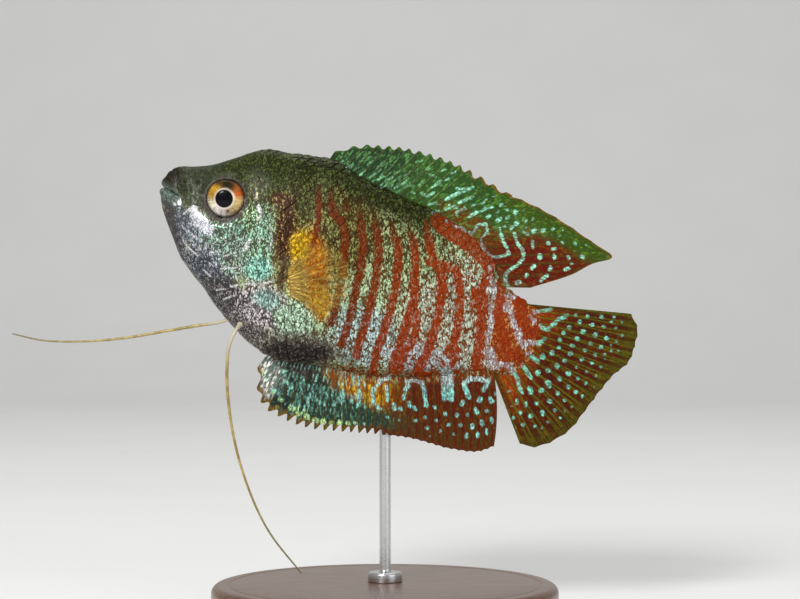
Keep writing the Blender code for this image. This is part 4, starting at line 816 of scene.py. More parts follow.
paintGroup = makePaintGroup()
skinMaterial = makeSkinMaterial("skin", paintGroup, skinLook["bump"], False)
scaleMaterial = makeSkinMaterial("scales", paintGroup, skinLook["bump"] * skinLook["scaleBump"], True)
finMaterial = makeFinMaterial(paintGroup)
print("materials of the fish made")

# The skin, one piece from the lips to the root of the tail fin
places, angles, plainPoints, skinPoints = makeSkinPoints()
around = skinSize["around"]
topLine = plainPoints.reshape(len(places), around, 3)[50:, 0][:, [0, 2]]
bottomLine = plainPoints.reshape(len(places), around, 3)[50:, around // 2][:, [0, 2]]


def makeSkin():
    ringCount = len(places)
    tip = skinSize["tip"]
    points = np.vstack([skinPoints, [tip]])
    faces = quadGrid(ringCount, around, True)
    pole = len(points) - 1
    faces += [(pole, (k + 1) % around, k) for k in range(around)]
    start, half = (ringCount - 1) * around, around // 2
    faces += [(start, start + 1, start + around - 1), (start + half - 1, start + half, start + half + 1)]
    faces += [(start + k, start + k + 1, start + around - k - 1, start + around - k) for k in range(1, half - 1)]
    skin = makePiece("skin", points, faces, skinMaterial)
    markings(skin.data, np.vstack([plainPoints, [tip]]), "body")
    return skin


skin = makeSkin()
skinTree = BVHTree.FromPolygons([tuple(p) for p in plainPoints], quadGrid(len(places), around, True))
for node in ("head", "torso", "tail_stalk", "gill_cover_left", "gill_cover_right"):
    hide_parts(node)
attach(skin, "root")
print("skin made,", len(skin.data.polygons), "faces")


def flank(s, t, side):   # point and outward normal of the plain body at s, t
    hit, normal, _, _ = skinTree.ray_cast(Vector((s, side * 20.0, t)), Vector((0.0, -side, 0.0)))
    return np.array(hit), np.array(normal if normal.y * side > 0 else -normal)


# Scales, as plates in rows along the body
coat = {
    "length": 2.05, "width": 1.75, "thickness": 0.08, "spacing": 1.34, "rowSpacing": 1.05, "tilt": 3.4,
        "tiltSpread": 1.2,
    "turnSpread": 5.0, "seed": 5, "headScale": 0.62, "stalkScale": 0.66, "stalkStart": 50.5, "rim": 12, "patch": 0.003,
    "sink": 0.13,
}


def rowPoints(size, firstPlace, lastPlace, offset):   # places in rows at even distances round the body
    found = []
    step, rowStep = coat["spacing"] * size, coat["rowSpacing"] * size
    fine = np.linspace(0, np.pi / 2, 61)
    for upper in (True, False):
        row = 0 if upper else 1
        while row * rowStep < 21:
            where = np.arange(firstPlace + (row % 2) * step / 2 + offset, lastPlace, step)
            turn = np.pi / 2 - fine if upper else np.pi / 2 + fine
            spots = []
            for place in where:
                ring = bodyGrid([place], turn)[0]
                gone = np.concatenate([[0], np.cumsum(np.linalg.norm(np.diff(ring, axis=0), axis=1))])
                if row * rowStep < gone[-1] - 0.25:
                    spots.append((place, np.interp(row * rowStep, gone, turn)))
            found.append(spots)
            row += 1
    return found


def scaleSpots():
    spots = []
    for size, first, last, offset, area in (
        (1.0, 12.0, coat["stalkStart"], 0.0, "flank"), (coat["headScale"], 10.0, 21.5, 0.2, "head"),
        (coat["stalkScale"], coat["stalkStart"] + 0.1, 60.2, 0.0, "stalk"),
    ):
        small = area == "head"
        for row in rowPoints(size, first, last, offset):
            for place, turn in row:
                here = bodyGrid([place], np.array([turn]))[0, 0]
                s, _, t = here
                onHead = s < 19.8 + 0.12 * abs(t + 4) if t < 4 else s < 15.5
                if onHead != small or s > 59.9:
                    continue
                if small and (math.hypot(s - eye["s"], t - eye["t"]) < eye["surround"] or s < 11.5 - 0.25 * t):
                    continue
                grid = bodyGrid([place - 0.02, place + 0.02], np.array([turn - 0.004, turn, turn + 0.004]))
                back, down = grid[1, 1] - grid[0, 1], grid[0, 2] - grid[0, 0]
                normal = np.cross(back, down)
                share = (place - places[0]) / (places[-1] - places[0])
                normal, back = (way / np.linalg.norm(way) for way in (normal, back))
                spots.append((here, normal, back, size, share, turn / (2 * np.pi)))
    return spots


def makePlate():   # one scale: a thin domed lens, its root at the origin and its free edge towards +X
    rim = coat["rim"]
    points, faces = [(0.5, 0.0, 0.55)], []
    for ring in (0.5, 0.85, 1.0):
        for k in range(rim):
            turn = 2 * math.pi * k / rim
            points.append((0.5 + 0.5 * ring * math.cos(turn), 0.5 * ring * math.sin(turn), {0.5: 0.45, 0.85: 0.22,
                                                                                            1.0: 0.0}[ring]))
    points.append((0.5, 0.0, -0.45))
    for k in range(rim):
        after = (k + 1) % rim
        faces.append((0, 1 + k, 1 + after))
        for ring in (0, 1):
            near = 1 + ring * rim
            faces.append((near + k, near + rim + k, near + rim + after, near + after))
        faces.append((1 + 2 * rim + k, len(points) - 1, 1 + 2 * rim + after))
    mesh = bpy.data.meshes.new("plate")
    mesh.from_pydata(points, [], faces)
    mesh.shade_smooth()
    store(mesh, "plateMap", "FLOAT_VECTOR", [(x - 0.5, y, 0.0) for x, y, _ in points])
    return newObject("plate", mesh)


def makeCoatTree():   # Geometry Nodes: a plate on each point, turned to the skin and raised at its rear
    tree = bpy.data.node_groups.new("scaleCoat", "GeometryNodeTree")
    for label, kind, value in (
        ("Geometry", "Geometry", None), ("Plate", "Object", None), ("Length", "Float", 0.002),
                               ("Width", "Float", 0.0017),
        ("Thickness", "Float", 0.0001), ("Tilt", "Float", 5.0), ("Tilt Spread", "Float", 1.5),
                               ("Turn Spread", "Float", 5.0),
        ("Patch", "Float", 0.003), ("Seed", "Int", 5), ("Material", "Material", None),
    ):
        socket = tree.interface.new_socket(label, in_out="INPUT", socket_type="NodeSocket" + kind)
        if value is not None:
            socket.default_value = value
    tree.interface.new_socket("Geometry", in_out="OUTPUT", socket_type="NodeSocketGeometry")
    put = tree.nodes.new("NodeGroupInput").outputs

    def named(name, kind):
        return add(tree, "GeometryNodeInputNamedAttribute", {"Name": name}, data_type=kind).outputs["Attribute"]

    def spread(value, seedShift):
        low = times(tree, value, -1.0)
        seed = add(tree, "FunctionNodeIntegerMath", {0: put["Seed"], 1: seedShift}, operation="ADD").outputs[0]
        node = add(tree, "FunctionNodeRandomValue", {2: low, 3: value, "Seed": seed}, data_type="FLOAT")
        return node.outputs[1]

    turn = add(tree, "FunctionNodeAxesToRotation",
               {0: named("facing", "FLOAT_VECTOR"), 1: named("back", "FLOAT_VECTOR")}, primary_axis="Z",
               secondary_axis="X")
    tilt = times(tree, plus(tree, put["Tilt"], spread(put["Tilt Spread"], 0)), -math.pi / 180)
    yaw = times(tree, spread(put["Turn Spread"], 1), math.pi / 180)
    lift = add(tree, "ShaderNodeCombineXYZ", {0: 0.0, 1: tilt, 2: yaw}).outputs[0]
    lifted = add(tree, "FunctionNodeEulerToRotation", {0: lift})
    turned = add(tree, "FunctionNodeRotateRotation", {0: turn.outputs[0], 1: lifted.outputs[0]}, rotation_space="LOCAL")
    size = named("size", "FLOAT")
    scale = add(tree, "ShaderNodeCombineXYZ", {
        0: times(tree, put["Length"], size), 1: times(tree, put["Width"], size), 2: put["Thickness"]}).outputs[0]
    plate = add(tree, "GeometryNodeObjectInfo", {"Object": put["Plate"]})
    laid = add(tree, "GeometryNodeInstanceOnPoints", {
        "Points": put["Geometry"], "Instance": plate.outputs["Geometry"], "Rotation": turned.outputs[0],
                                                      "Scale": scale})
    real = add(tree, "GeometryNodeRealizeInstances", {0: laid.outputs[0]})
    patch = vector(tree, "SCALE", named("plateMap", "FLOAT_VECTOR"), put["Patch"])[0]
    root = named("rootPlace", "FLOAT_VECTOR")
    spot = add(tree, "ShaderNodeVectorMath", {0: root, 1: patch}, operation="ADD").outputs[0]
    mapped = add(tree, "GeometryNodeStoreNamedAttribute", {"Geometry": real.outputs[0], "Name": "OFBake",
                                                           "Value": spot},
                 data_type="FLOAT2", domain="CORNER")
    finished = add(tree, "GeometryNodeSetMaterial", {"Geometry": mapped.outputs[0], "Material": put["Material"]})
    tree.links.new(finished.outputs[0], tree.nodes.new("NodeGroupOutput").inputs[0])
    return tree


def makeScales():
    spots = scaleSpots()
    plate, tree = makePlate(), makeCoatTree()
    here, facing, back = (np.array([spot[k] for spot in spots]) for k in (0, 1, 2))
    size, share, turn = (np.array([spot[k] for spot in spots]) for k in (3, 4, 5))
    for name, side in (("scales_right", 1), ("scales_left", -1)):
        flip = np.array([1, side, 1])
        points = bpy.data.meshes.new(name)
        points.from_pydata(toFrame(here * flip + facing * flip * -coat["sink"]), [], [])
        store(points, "facing", "FLOAT_VECTOR", turnToFrame(facing * flip))
        store(points, "back", "FLOAT_VECTOR", turnToFrame(back * flip))
        store(points, "size", "FLOAT", size)
        store(points, "rootPlace", "FLOAT_VECTOR", np.stack([share, turn if side > 0 else 1 - turn, 0 * turn], 1))
        source = newObject("source_" + name, points)
        modifier = source.modifiers.new("coat", "NODES")
        modifier.node_group = tree
        values = {"Plate": plate, "Length": coat["length"] * 0.001, "Width": coat["width"] * 0.001,
                  "Thickness": coat["thickness"] * 0.001, "Tilt": coat["tilt"], "Tilt Spread": coat["tiltSpread"],
                  "Turn Spread": coat["turnSpread"], "Patch": coat["patch"], "Seed": coat["seed"],
                  "Material": scaleMaterial}
        for item in tree.interface.items_tree:
            if item.in_out == "INPUT" and item.name in values:
                modifier[item.identifier] = values[item.name]
        bpy.context.view_layer.update()
        mesh = bpy.data.meshes.new_from_object(source.evaluated_get(bpy.context.evaluated_depsgraph_get()))
        source.modifiers.remove(modifier)
        bpy.data.objects.remove(source)
        for gone in ("facing", "back", "size", "rootPlace"):
            if gone in mesh.attributes:
                mesh.attributes.remove(mesh.attributes[gone])
        scales = newObject(name, mesh)
        co = np.zeros(len(mesh.vertices) * 3, np.float32)
        mesh.vertices.foreach_get("co", co)
        markings(mesh, toFish(co.reshape(-1, 3)), "body")
        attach(scales, "root")
        print(name, "made,", len(spots), "scales,", len(mesh.polygons), "faces")
    bpy.data.objects.remove(plate)


makeScales()

# Fins: s of the base, then s and t of the tip, at a few rays; sway is size, waves and start
fins = {
    "dorsal": {
        "keys": [(21.6, 22.0, 15.1), (23.2, 24.6, 17.1), (26.0, 28.2, 18.6), (29.5, 32.2, 19.7), (33.5, 37.2, 20.25),
                 (37.5, 42.2, 20.05), (41.0, 48.0, 19.10), (44.5, 55.3, 18.55), (47.5, 62.3, 17.15),
                 (49.3, 66.6, 15.95),
                 (50.8, 64.2, 13.90), (51.8, 61.3, 10.70), (52.8, 56.9, 7.15)],
        "spines": 16, "soft": 9, "tooth": 0.7, "rows": 64, "columns": 12, "sway": (0.45, 6.0, 0.6), "bend": 0.0,
               "seed": 7,
    },
    "anal": {
        "keys": [(24.2, 23.4, -19.2), (25.2, 24.4, -22.0), (26.6, 26.2, -24.2), (28.6, 29.3, -24.9), (31.5, 33.4,
                                                                                                      -24.9),
                 (35.5, 38.6, -23.5), (40.0, 43.7, -21.9), (45.0, 49.2, -20.5), (50.0, 54.8, -19.8),
                 (54.0, 59.0, -18.5),
                 (56.3, 60.7, -17.0)],
        "spines": 17, "soft": 15, "tooth": 1.0, "rows": 60, "columns": 10, "sway": (-0.35, 7.0, 1.0), "bend": 0.55,
             "seed": 8,
    },
    "caudal": {
        "base": [(0.0, 57.75, 4.45), (0.5, 59.0, -1.0), (1.0, 57.35, -6.45)],
        "tips": [(0.00, 72.4, 9.20), (0.07, 73.9, 7.90), (0.20, 74.8, 4.90), (0.32, 74.8, 2.20), (0.45, 73.3, -0.70),
                 (0.56, 72.4, -3.60), (0.67, 71.4, -7.10), (0.78, 70.3, -10.6), (0.88, 67.9, -13.7),
                 (0.95, 65.9, -15.0),
                 (1.00, 64.1, -15.1)],
        "spines": 0, "soft": 16, "tooth": 0.12, "rows": 76, "columns": 18, "sway": (0.7, 4.0, 0.3), "bend": 0.0,
               "seed": 9,
    },
}
finShape = {"membrane": 0.11, "margin": 0.045, "spine": 0.17, "rootSpread": 0.30, "sink": 0.7}


def finLines(name, u):   # base and tip points (s, t) of the ray at share u of the fin
    fin = fins[name]
    if name == "caudal":
        base, tip = along(fin["base"], u), along(fin["tips"], u)
        base[:, 0] -= finShape["sink"] + 0.6
        return base, tip
    s = fin["keys"][0][0] + (fin["keys"][-1][0] - fin["keys"][0][0]) * u
    line, sign = (topLine, 1) if name == "dorsal" else (bottomLine, -1)
    baseT = np.interp(s, line[:, 0], line[:, 1]) - sign * finShape["sink"]
    return np.stack([s, baseT], 1), along(fin["keys"], s)


def finPoint(name, u, w):   # point (s, t) at share w of the way out along the ray at share u
    base, tip = finLines(name, u)
    point = base + (tip - base) * w[:, None]
    point[:, 0] += fins[name]["bend"] * u ** 4 * 4 * w * (1 - w)
    return point


def makeFin(name, dots):
    fin, shape = fins[name], finShape
    count = fin["spines"] + fin["soft"]
    rng = random.Random(fin["seed"])
    luck = [rng.random() for k in range(count)]
    teeth = np.array([
        fin["tooth"] * (0.75 + 0.5 * r) if k < fin["spines"] else 0.12 + 0.1 * r for k, r in enumerate(luck)])
    x = np.arange((count - 1) * fin["columns"] + 1) / fin["columns"]   # ray number
    u, k = x / (count - 1), np.minimum(np.floor(x).astype(int), count - 2)
    f = x - k
    base, tip = finLines(name, u)
    length = np.linalg.norm(tip - base, axis=1)
    soft = ease(fin["spines"] - 1.5, fin["spines"] + 0.5, x)
    spiny = teeth[k + 1] * ease(0.06, 0.8, f) * (f < 0.97)
    tooth = np.where(soft < 0.5, spiny, (teeth[k] * (1 - f) + teeth[k + 1] * f) * np.sin(np.pi * f))
    reach = 1 - np.minimum(tooth, 0.25 * length) / length
    v = np.linspace(0, 1, fin["rows"] + 1)[None, :]
    w = v - (1 - reach[:, None]) * v ** 3
    grid = np.stack([finPoint(name, u, w[:, c]) for c in range(w.shape[1])], 1)   # columns, rows, (s, t)
    size, waves, start = fin["sway"]
    sway = size * v ** 2 * np.sin(waves * u + start)[:, None]
    gap = np.linalg.norm(np.gradient(grid, axis=0), axis=2) * fin["columns"]   # millimetres between rays
    first = 0.17 * ease(0.3, 0.75, v) * soft[:, None]
    second = 0.085 * ease(0.66, 1.0, v) * soft[:, None]
    off = np.full(grid.shape[:2], 9.0)
    for centre in (first + second, first - second, -first + second, -first - second):
        off = np.minimum(off, np.minimum(abs(f[:, None] - centre), abs(1 - f[:, None] + centre)))
    ray = np.exp(-(off * gap / (0.13 - 0.05 * v * soft[:, None])) ** 2)
    out = length[:, None] * w
    ridge = ray * shape["spine"] * (1 - 0.65 * v) * (1 - 0.35 * soft[:, None])
    half = shape["membrane"] + (shape["margin"] - shape["membrane"]) * v + ridge
    half = half + shape["rootSpread"] * np.exp(-((out - 0.3) / 0.9) ** 2)
    half *= 1 - 0.5 * ease(0.94, 1.0, v)
    flat = grid.reshape(-1, 2)
    near = np.stack([flat[:, 0], (sway - half).ravel(), flat[:, 1]], 1)
    far = np.stack([flat[:, 0], (sway + half).ravel(), flat[:, 1]], 1)
    columns, rows = grid.shape[:2]
    piece = makePiece(name + "Fin", np.vstack([near, far]), sheetFaces(columns, rows), finMaterial)
    edge = (length[:, None] * reach[:, None] * (1 - v)).ravel()
    if name == "caudal":
        sideGap = np.minimum(x, count - 1 - x)[:, None] * gap
        edge = np.minimum(edge, (sideGap * 2 + 0.4 + 0 * v).ravel())
    markings(piece.data, np.vstack([near, far]), name, dots, (np.tile(ray.ravel(), 2), np.tile(edge, 2)))
    grain = np.stack([(x[:, None] * 1.25 + 0 * v).ravel(), out.ravel() * 0.4, np.full(columns * rows, count * 3.0)], 1)
    store(piece.data, "grain", "FLOAT_VECTOR", np.tile(grain, (2, 1)))
    clear = (finLook["edgeClear"] * (1 - ray) * ease(2.5, 0.2, edge.reshape(ray.shape))).ravel()
    store(piece.data, "clear", "FLOAT", np.tile(clear, 2))
    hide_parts(name + "_fin")
    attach(piece, "root")
    print(name, "fin made,", len(piece.data.polygons), "faces")


# Rows of dots at even distances from the base
def spacedDots(name, first, last, pitch, start, step, half, stretch, stop, stagger, seed):
    fin = fins[name]
    count = fin["spines"] + fin["soft"]
    rng = random.Random(seed)
    dots = []
    place = first
    while place < last:
        row = 0
        while True:
            ray = place + pitch * 0.5 * (row % 2) * stagger + (rng.random() - 0.5) * 0.16 * pitch
            u = np.array([ray / (count - 1)])
            base, tip = finLines(name, u)
            length = float(np.linalg.norm(tip - base))
            out = start + step * (row + (rng.random() - 0.5) * 0.22)
            if out > length - stop or row > 30:
                break
            reach = stretch * (0.8 + 0.5 * rng.random()) / length
            ends = (np.array([max(0.0, out / length + sign * reach)]) for sign in (-1, 1))
            (s0, t0), (s1, t1) = (finPoint(name, u, end)[0] for end in ends)
            fade = ease(stop - 0.6, stop + 3.0, length - out)
            dots.append((half * (0.75 + 0.45 * rng.random()) * (0.5 + 0.5 * fade), s0, t0, s1, t1))
            row += 1
        place += pitch
    return dots


dotRows = {   # first ray, last ray, pitch in rays, first distance, step, half width, stretch, clear margin, stagger
    "dorsal": [(0.5, 9, 0.5, 1.2, 1.4, 0.05, 0.45, 3.0, 1.0)],
    "anal": [(1.5, 14, 0.5, 1.0, 1.5, 0.05, 0.40, 2.6, 1.0)],
    "caudal": [],
}
for name in ("dorsal", "anal", "caudal"):
    rows = dotRows[name]
    makeFin(name, [dot for k, row in enumerate(rows) for dot in spacedDots(name, *row, 20 + k)])

# Pectoral fins: place of the root, its length and lean, fan of the rays, flare away from the body
pectoral = {
    "s": 23.6, "t": -5.5, "root": 3.8, "rootLean": 118.0, "fan": (74.0, -16.0), "flare": 27.0, "rays": 11,
            "columns": 10,
    "rows": 44, "lengths": [(0.0, 5.6), (0.35, 9.4), (0.7, 9.0), (1.0, 5.4)], "ray": "bc9c4c", "skin": "a88a3c",
            "clear": 0.90,
    "notch": 0.28, "sway": -0.5, "membrane": 0.045, "spine": 0.1, "rootSpread": 0.4,
}


def makePectoral(side):
    fin = pectoral
    x = np.arange((fin["rays"] - 1) * fin["columns"] + 1) / fin["columns"]
    u = x / (fin["rays"] - 1)
    slope, flare = math.radians(fin["rootLean"]), math.radians(fin["flare"])
    fan = np.radians(fin["fan"][0] + (fin["fan"][1] - fin["fan"][0]) * u)
    offset = fin["root"] * (0.5 - u)
    roots = [flank(fin["s"] + d * math.cos(slope), fin["t"] + d * math.sin(slope), side)[0] for d in offset]
    base = np.array(roots) - np.array([0.0, 0.15 * side, 0.0])
    length = along(fin["lengths"], u)[:, 0]
    notch = fin["notch"] * np.sin(np.pi * (x % 1.0))
    run, rise = length * math.cos(flare), length * math.sin(flare) + 0.5
    tip = base + np.stack([run * np.cos(fan), side * rise, run * np.sin(fan)], 1)
    v = np.linspace(0, 1, fin["rows"] + 1)[None, :]
    w = v * (1 - notch / length)[:, None]
    axis = np.cross(tip[-1] - base[-1], tip[0] - base[0])
    axis *= side * np.sign(axis[1]) / np.linalg.norm(axis)
    sway = fin["sway"] * v ** 2 * np.sin(np.pi * u)[:, None]
    grid = base[:, None] + (tip - base)[:, None] * w[:, :, None] + axis * sway[:, :, None]
    gap = np.linalg.norm(np.gradient(grid, axis=0), axis=2) * fin["columns"]
    f = (x % 1.0)[:, None]
    fork = 0.16 * ease(0.35, 0.9, v)
    off = np.minimum(np.minimum(abs(f - fork), abs(f + fork)), np.minimum(abs(1 - f - fork), abs(1 - f + fork)))
    ray = np.exp(-(off * gap / (0.12 - 0.05 * v)) ** 2)
    half = fin["membrane"] + fin["spine"] * ray * (1 - 0.7 * v)
    half = half + fin["rootSpread"] * np.exp(-(length[:, None] * w / 0.9) ** 2)
    near, far = ((grid + axis * (sign * half)[:, :, None]).reshape(-1, 3) for sign in (-1, 1))
    columns, rows = half.shape
    sideName = "right" if side > 0 else "left"
    piece = makePiece("pectoralFin_" + sideName, np.vstack([near, far]), sheetFaces(columns, rows), finMaterial)
    total = 2 * columns * rows
    root = np.tile(ease(3.2, 0.6, length[:, None] * w).ravel(), 2)[:, None]
    rays = np.tile(ray.ravel(), 2)[:, None]
    tone = paint(fin["skin"]) * (1 - rays) + paint(fin["ray"]) * rays
    one = np.ones((total, 1))
    store(piece.data, "dark", "FLOAT_COLOR", np.hstack([tone * (0.75 - 0.2 * root), one]))
    store(piece.data, "bright", "FLOAT_COLOR", np.hstack([np.minimum(tone * (1.15 + 0.2 * root), 0.9), one]))
    for label in ("redPaint", "bluePaint"):
        store(piece.data, label, "FLOAT_COLOR", np.hstack([tone, one]))
    store(piece.data, "pattern", "FLOAT_VECTOR", np.hstack([5 * one, 5 * one, 0.5 * one]))
    store(piece.data, "finish", "FLOAT_VECTOR", np.hstack([0.1 * one, 0.35 * one, 0 * one]))
    out = (length[:, None] * w).ravel()
    grain = np.stack([(x[:, None] * 1.3 + 0 * v).ravel(), out * 0.4, np.full(columns * rows, 2.0)], 1)
    store(piece.data, "grain", "FLOAT_VECTOR", np.tile(grain, (2, 1)))
    store(piece.data, "clear", "FLOAT", fin["clear"] * (1 - 0.34 * rays[:, 0]) * (1 - 0.75 * root[:, 0]))
    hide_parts("pectoral_fin_" + sideName)
    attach(piece, "root")


makePectoral(-1)
makePectoral(1)
print("pectoral fins made")

# Eyes: a lens with a domed middle; iris colours lie at x, z in millimetres from the pupil, with their size
iris = [
    (0.0, 0.0, 9.0, "b9a26a"), (-1.7, -0.4, 1.5, "f3e9c4"), (-0.9, -1.7, 1.3, "efe4e0"), (0.2, -2.3, 1.1, "cfc6c4"),
    (1.6, -1.6, 1.5, "c9ad80"), (2.0, -0.3, 1.2, "eccb86"), (-1.7, 0.9, 1.2, "d9a21c"), (-1.5, 1.6, 1.0, "f4b83a"),
    (2.0, 1.1, 1.2, "c2560e"), (1.5, 1.9, 0.9, "c77a3c"), (0.25, 2.2, 1.35, "2a210b"), (-1.0, 2.6, 0.7, "5c4512"),
]
eyeLook = {"pupil": 1.34, "ring": 1.46, "iris": 2.62, "rim": 2.80, "bulge": 0.16, "rings": 56, "around": 112,
           "coat": 0.18,
           "shiftX": -0.20, "shiftZ": -0.12}


def makeEyeMaterial():
    look = eyeLook
    material, tree, shader = newMaterial("eyeball", {
        "Coat Weight": look["coat"], "Coat Roughness": 0.03, "Specular IOR Level": 0.06, "Roughness": 0.25})
    place = attribute(tree, "disc").outputs["Vector"]
    far = vector(tree, "LENGTH", place)["Value"]
    streakPlace = vector(tree, "SCALE", vector(tree, "NORMALIZE", place)[0], 5.0)[0]
    streaks = noise(tree, streakPlace, 2.4, 3.0, 0.7)
    spots = noise(tree, place, 2.2, 3.0, 0.65)
    level = plus(tree, times(tree, streaks, 0.5), times(tree, spots, 0.5))
    base = attribute(tree, "irisPaint").outputs["Color"]
    colour = mixed(tree, span(tree, level, 0.40, 0.60), mixed(tree, 0.55, base, (0.05, 0.035, 0.02, 1.0)), base)
    ripple = swing(tree, spots, 0.25)
    edge = plus(tree, far, ripple)
    uneven = plus(tree, edge, swing(tree, streaks, 0.5))
    ring = times(tree, span(tree, uneven, look["ring"] + 0.26, look["ring"] - 0.02), 0.85)
    colour = mixed(tree, ring, colour, (0.78, 0.70, 0.56, 1.0))
    colour = mixed(tree, span(tree, edge, look["iris"], look["rim"]), colour, (0.035, 0.03, 0.022, 1.0))
    pupil = span(tree, far, look["pupil"] + 0.03, look["pupil"] - 0.03)
    colour = mixed(tree, pupil, colour, (0.002, 0.002, 0.004, 1.0))
    plug(tree, colour, shader.inputs["Base Color"])
    metal = times(tree, minus(tree, 1.0, pupil), span(tree, edge, look["rim"], look["iris"], 0.0, 0.55))
    plug(tree, metal, shader.inputs["Metallic"])
    roughen(tree, shader, level, 0.3, 0.00008)
    return material


def makeEye(sideName, side, material):
    look = eyeLook
    turn = 2 * np.pi * np.arange(look["around"]) / look["around"]
    share = np.linspace(0, 1, look["rings"] + 1)[1:]
    r = eye["radius"] * share
    depth = eye["halfDepth"] * np.sqrt(np.clip(1 - share ** 2, 0, 1)) + look["bulge"] * ease(1.9, 0.9, r)
    ds, dt = (r[:, None] * wave for wave in (np.cos(turn), np.sin(turn)))
    front = np.stack([eye["s"] + ds, side * (eye["centreY"] + depth[:, None] + 0 * ds), eye["t"] + dt], 2).reshape(-1,
                                                                                                                   3)
    back = front[-look["around"]:] - np.array([0.0, side * 0.4, 0.0])
    frontPole = (eye["s"], side * (eye["centreY"] + eye["halfDepth"] + look["bulge"]), eye["t"])
    points = np.vstack([front, back, [frontPole], [(eye["s"], side * (eye["centreY"] - 0.6), eye["t"])]])
    faces = quadGrid(look["rings"] + 1, look["around"], True)
    pole, last = len(points) - 2, look["rings"] * look["around"]
    faces += [(pole, k, (k + 1) % look["around"]) for k in range(look["around"])]
    faces += [(pole + 1, last + (k + 1) % look["around"], last + k) for k in range(look["around"])]
    piece = makePiece("eyeball_" + sideName, points, faces, material)
    ds, dt = points[:, 0] - eye["s"], points[:, 2] - eye["t"]
    lean = math.radians(pose["noseUp"])
    x, z = ds * math.cos(lean) + dt * math.sin(lean), dt * math.cos(lean) - ds * math.sin(lean)
    colour = np.zeros((len(points), 3)) + paint(iris[0][3])
    for cx, cz, size, code in iris[1:]:
        w = np.exp(-(np.hypot(x - cx, z - cz) / size) ** 4)[:, None]
        colour += (paint(code) - colour) * w
    notch = np.exp(-(np.hypot(x - 0.35, z + 1.95) / 0.26) ** 4)[:, None]
    colour += (paint("20222c") - colour) * notch * 0.9
    store(piece.data, "irisPaint", "FLOAT_COLOR", np.hstack([colour, np.ones((len(points), 1))]))
    inward = ease(2.7, 0.6, np.hypot(x, z))
    store(piece.data, "disc", "FLOAT_VECTOR", np.stack([x - look["shiftX"] * inward, z - look["shiftZ"] * inward,
                                                        0 * x], 1))
    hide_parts("eye_" + sideName)
    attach(piece, "root")


eyeMaterial = makeEyeMaterial()
makeEye("left", -1, eyeMaterial)
makeEye("right", 1, eyeMaterial)
print("eyes made")

# Feelers: the root on the belly (s, t), then points s, y, t to the tip
feelers = {
    "left": {"side": -1, "root": (18.6, -14.3), "path": [
        (18.5, -3.2, -15.2), (18.45, -3.3, -17.6), (19.4, -3.2, -20.9), (22.4, -3.0, -27.2), (27.6, -2.8, -34.7),
        (34.1, -2.9, -41.0), (41.0, -3.2, -45.0)]},
    "right": {"side": 1, "root": (16.9, -14.0), "path": [
        (15.7, 2.7, -15.0), (12.5, 3.0, -16.95), (8.2, 3.3, -19.6), (3.0, 3.6, -22.8), (-3.2, 3.9, -25.9),
        (-8.8, 4.1, -27.95), (-13.2, 4.2, -28.7)]},
}
feelerShape = {"radius": 0.27, "tip": 0.10, "root": 0.30, "steps": 220, "sides": 12, "joints": 70}


def makeFeelerMaterial():
    material, tree, shader = newMaterial("feelerSkin", {
        "Coat Weight": 0.25, "Coat Roughness": 0.25, "Roughness": 0.42, "Subsurface Weight": 0.05})
    shader.inputs["Subsurface Radius"].default_value = (0.0006, 0.0004, 0.0002)
    run = split(tree, attribute(tree, "run").outputs["Vector"])
    blotch = noise(tree, inMillimetres(tree), 0.8, 3.0, 0.6)
    gold = mixed(tree, span(tree, blotch, 0.35, 0.65), (0.24, 0.165, 0.035, 1.0), (0.43, 0.33, 0.10, 1.0))
    pale = span(tree, plus(tree, run[0], times(tree, blotch, 0.08)), 0.10, 0.26)
    shade = mixed(tree, pale, (0.52, 0.47, 0.33, 1.0), gold)
    shade = mixed(tree, span(tree, run[0], 0.55, 1.0), shade, (0.16, 0.13, 0.05, 1.0))
    plug(tree, shade, shader.inputs["Base Color"])
    band = maths(tree, "SINE", times(tree, run[0], 2 * math.pi * feelerShape["joints"]))
    roughen(tree, shader, band, 0.3, 0.00003)
    return material


def makeFeeler(name, material):
    feeler, shape = feelers[name], feelerShape
    root, normal = flank(*feeler["root"], feeler["side"])
    path = np.array([root - normal * 0.6, *feeler["path"]])
    gone = np.concatenate([[0], np.cumsum(np.linalg.norm(np.diff(path, axis=0), axis=1))])
    share = np.linspace(0, 1, shape["steps"] + 1)
    line = along(np.hstack([gone[:, None], path]), share * gone[-1])
    ahead = np.gradient(line, axis=0)
    ahead /= np.linalg.norm(ahead, axis=1, keepdims=True)
    across = np.cross(ahead, np.array([0.0, 1.0, 0.0]))
    across /= np.linalg.norm(across, axis=1, keepdims=True)
    up = np.cross(across, ahead)
    radius = shape["tip"] + (shape["radius"] - shape["tip"]) * (1 - share) ** 0.8
    radius += shape["root"] * np.exp(-(share * gone[-1] / 0.9) ** 2)
    radius *= 1 + 0.04 * np.sin(share * 2 * math.pi * shape["joints"] / 2)
    turn = 2 * np.pi * np.arange(shape["sides"]) / shape["sides"]
    cosine, sine = (wave(turn)[None, :, None] for wave in (np.cos, np.sin))
    rings = line[:, None] + radius[:, None, None] * (across[:, None] * cosine + up[:, None] * sine)
    points = np.vstack([rings.reshape(-1, 3), [line[0] - ahead[0] * 0.1], [line[-1] + ahead[-1] * 0.1]])
    faces = quadGrid(len(line), shape["sides"], True)
    faces += capFaces(len(points) - 2, len(points) - 1, shape["steps"] * shape["sides"], shape["sides"])
    piece = makePiece("feeler_" + name, points, faces, material)
    run = np.append(np.repeat(share, shape["sides"]), [0.0, 1.0])
    store(piece.data, "run", "FLOAT_VECTOR", np.stack([run, 0 * run, 0 * run], 1))
    for k in (1, 2, 3):
        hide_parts("feeler_" + name + "_" + str(k))
    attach(piece, "root")


feelerMaterial = makeFeelerMaterial()
makeFeeler("left", feelerMaterial)
makeFeeler("right", feelerMaterial)
print("feelers made")

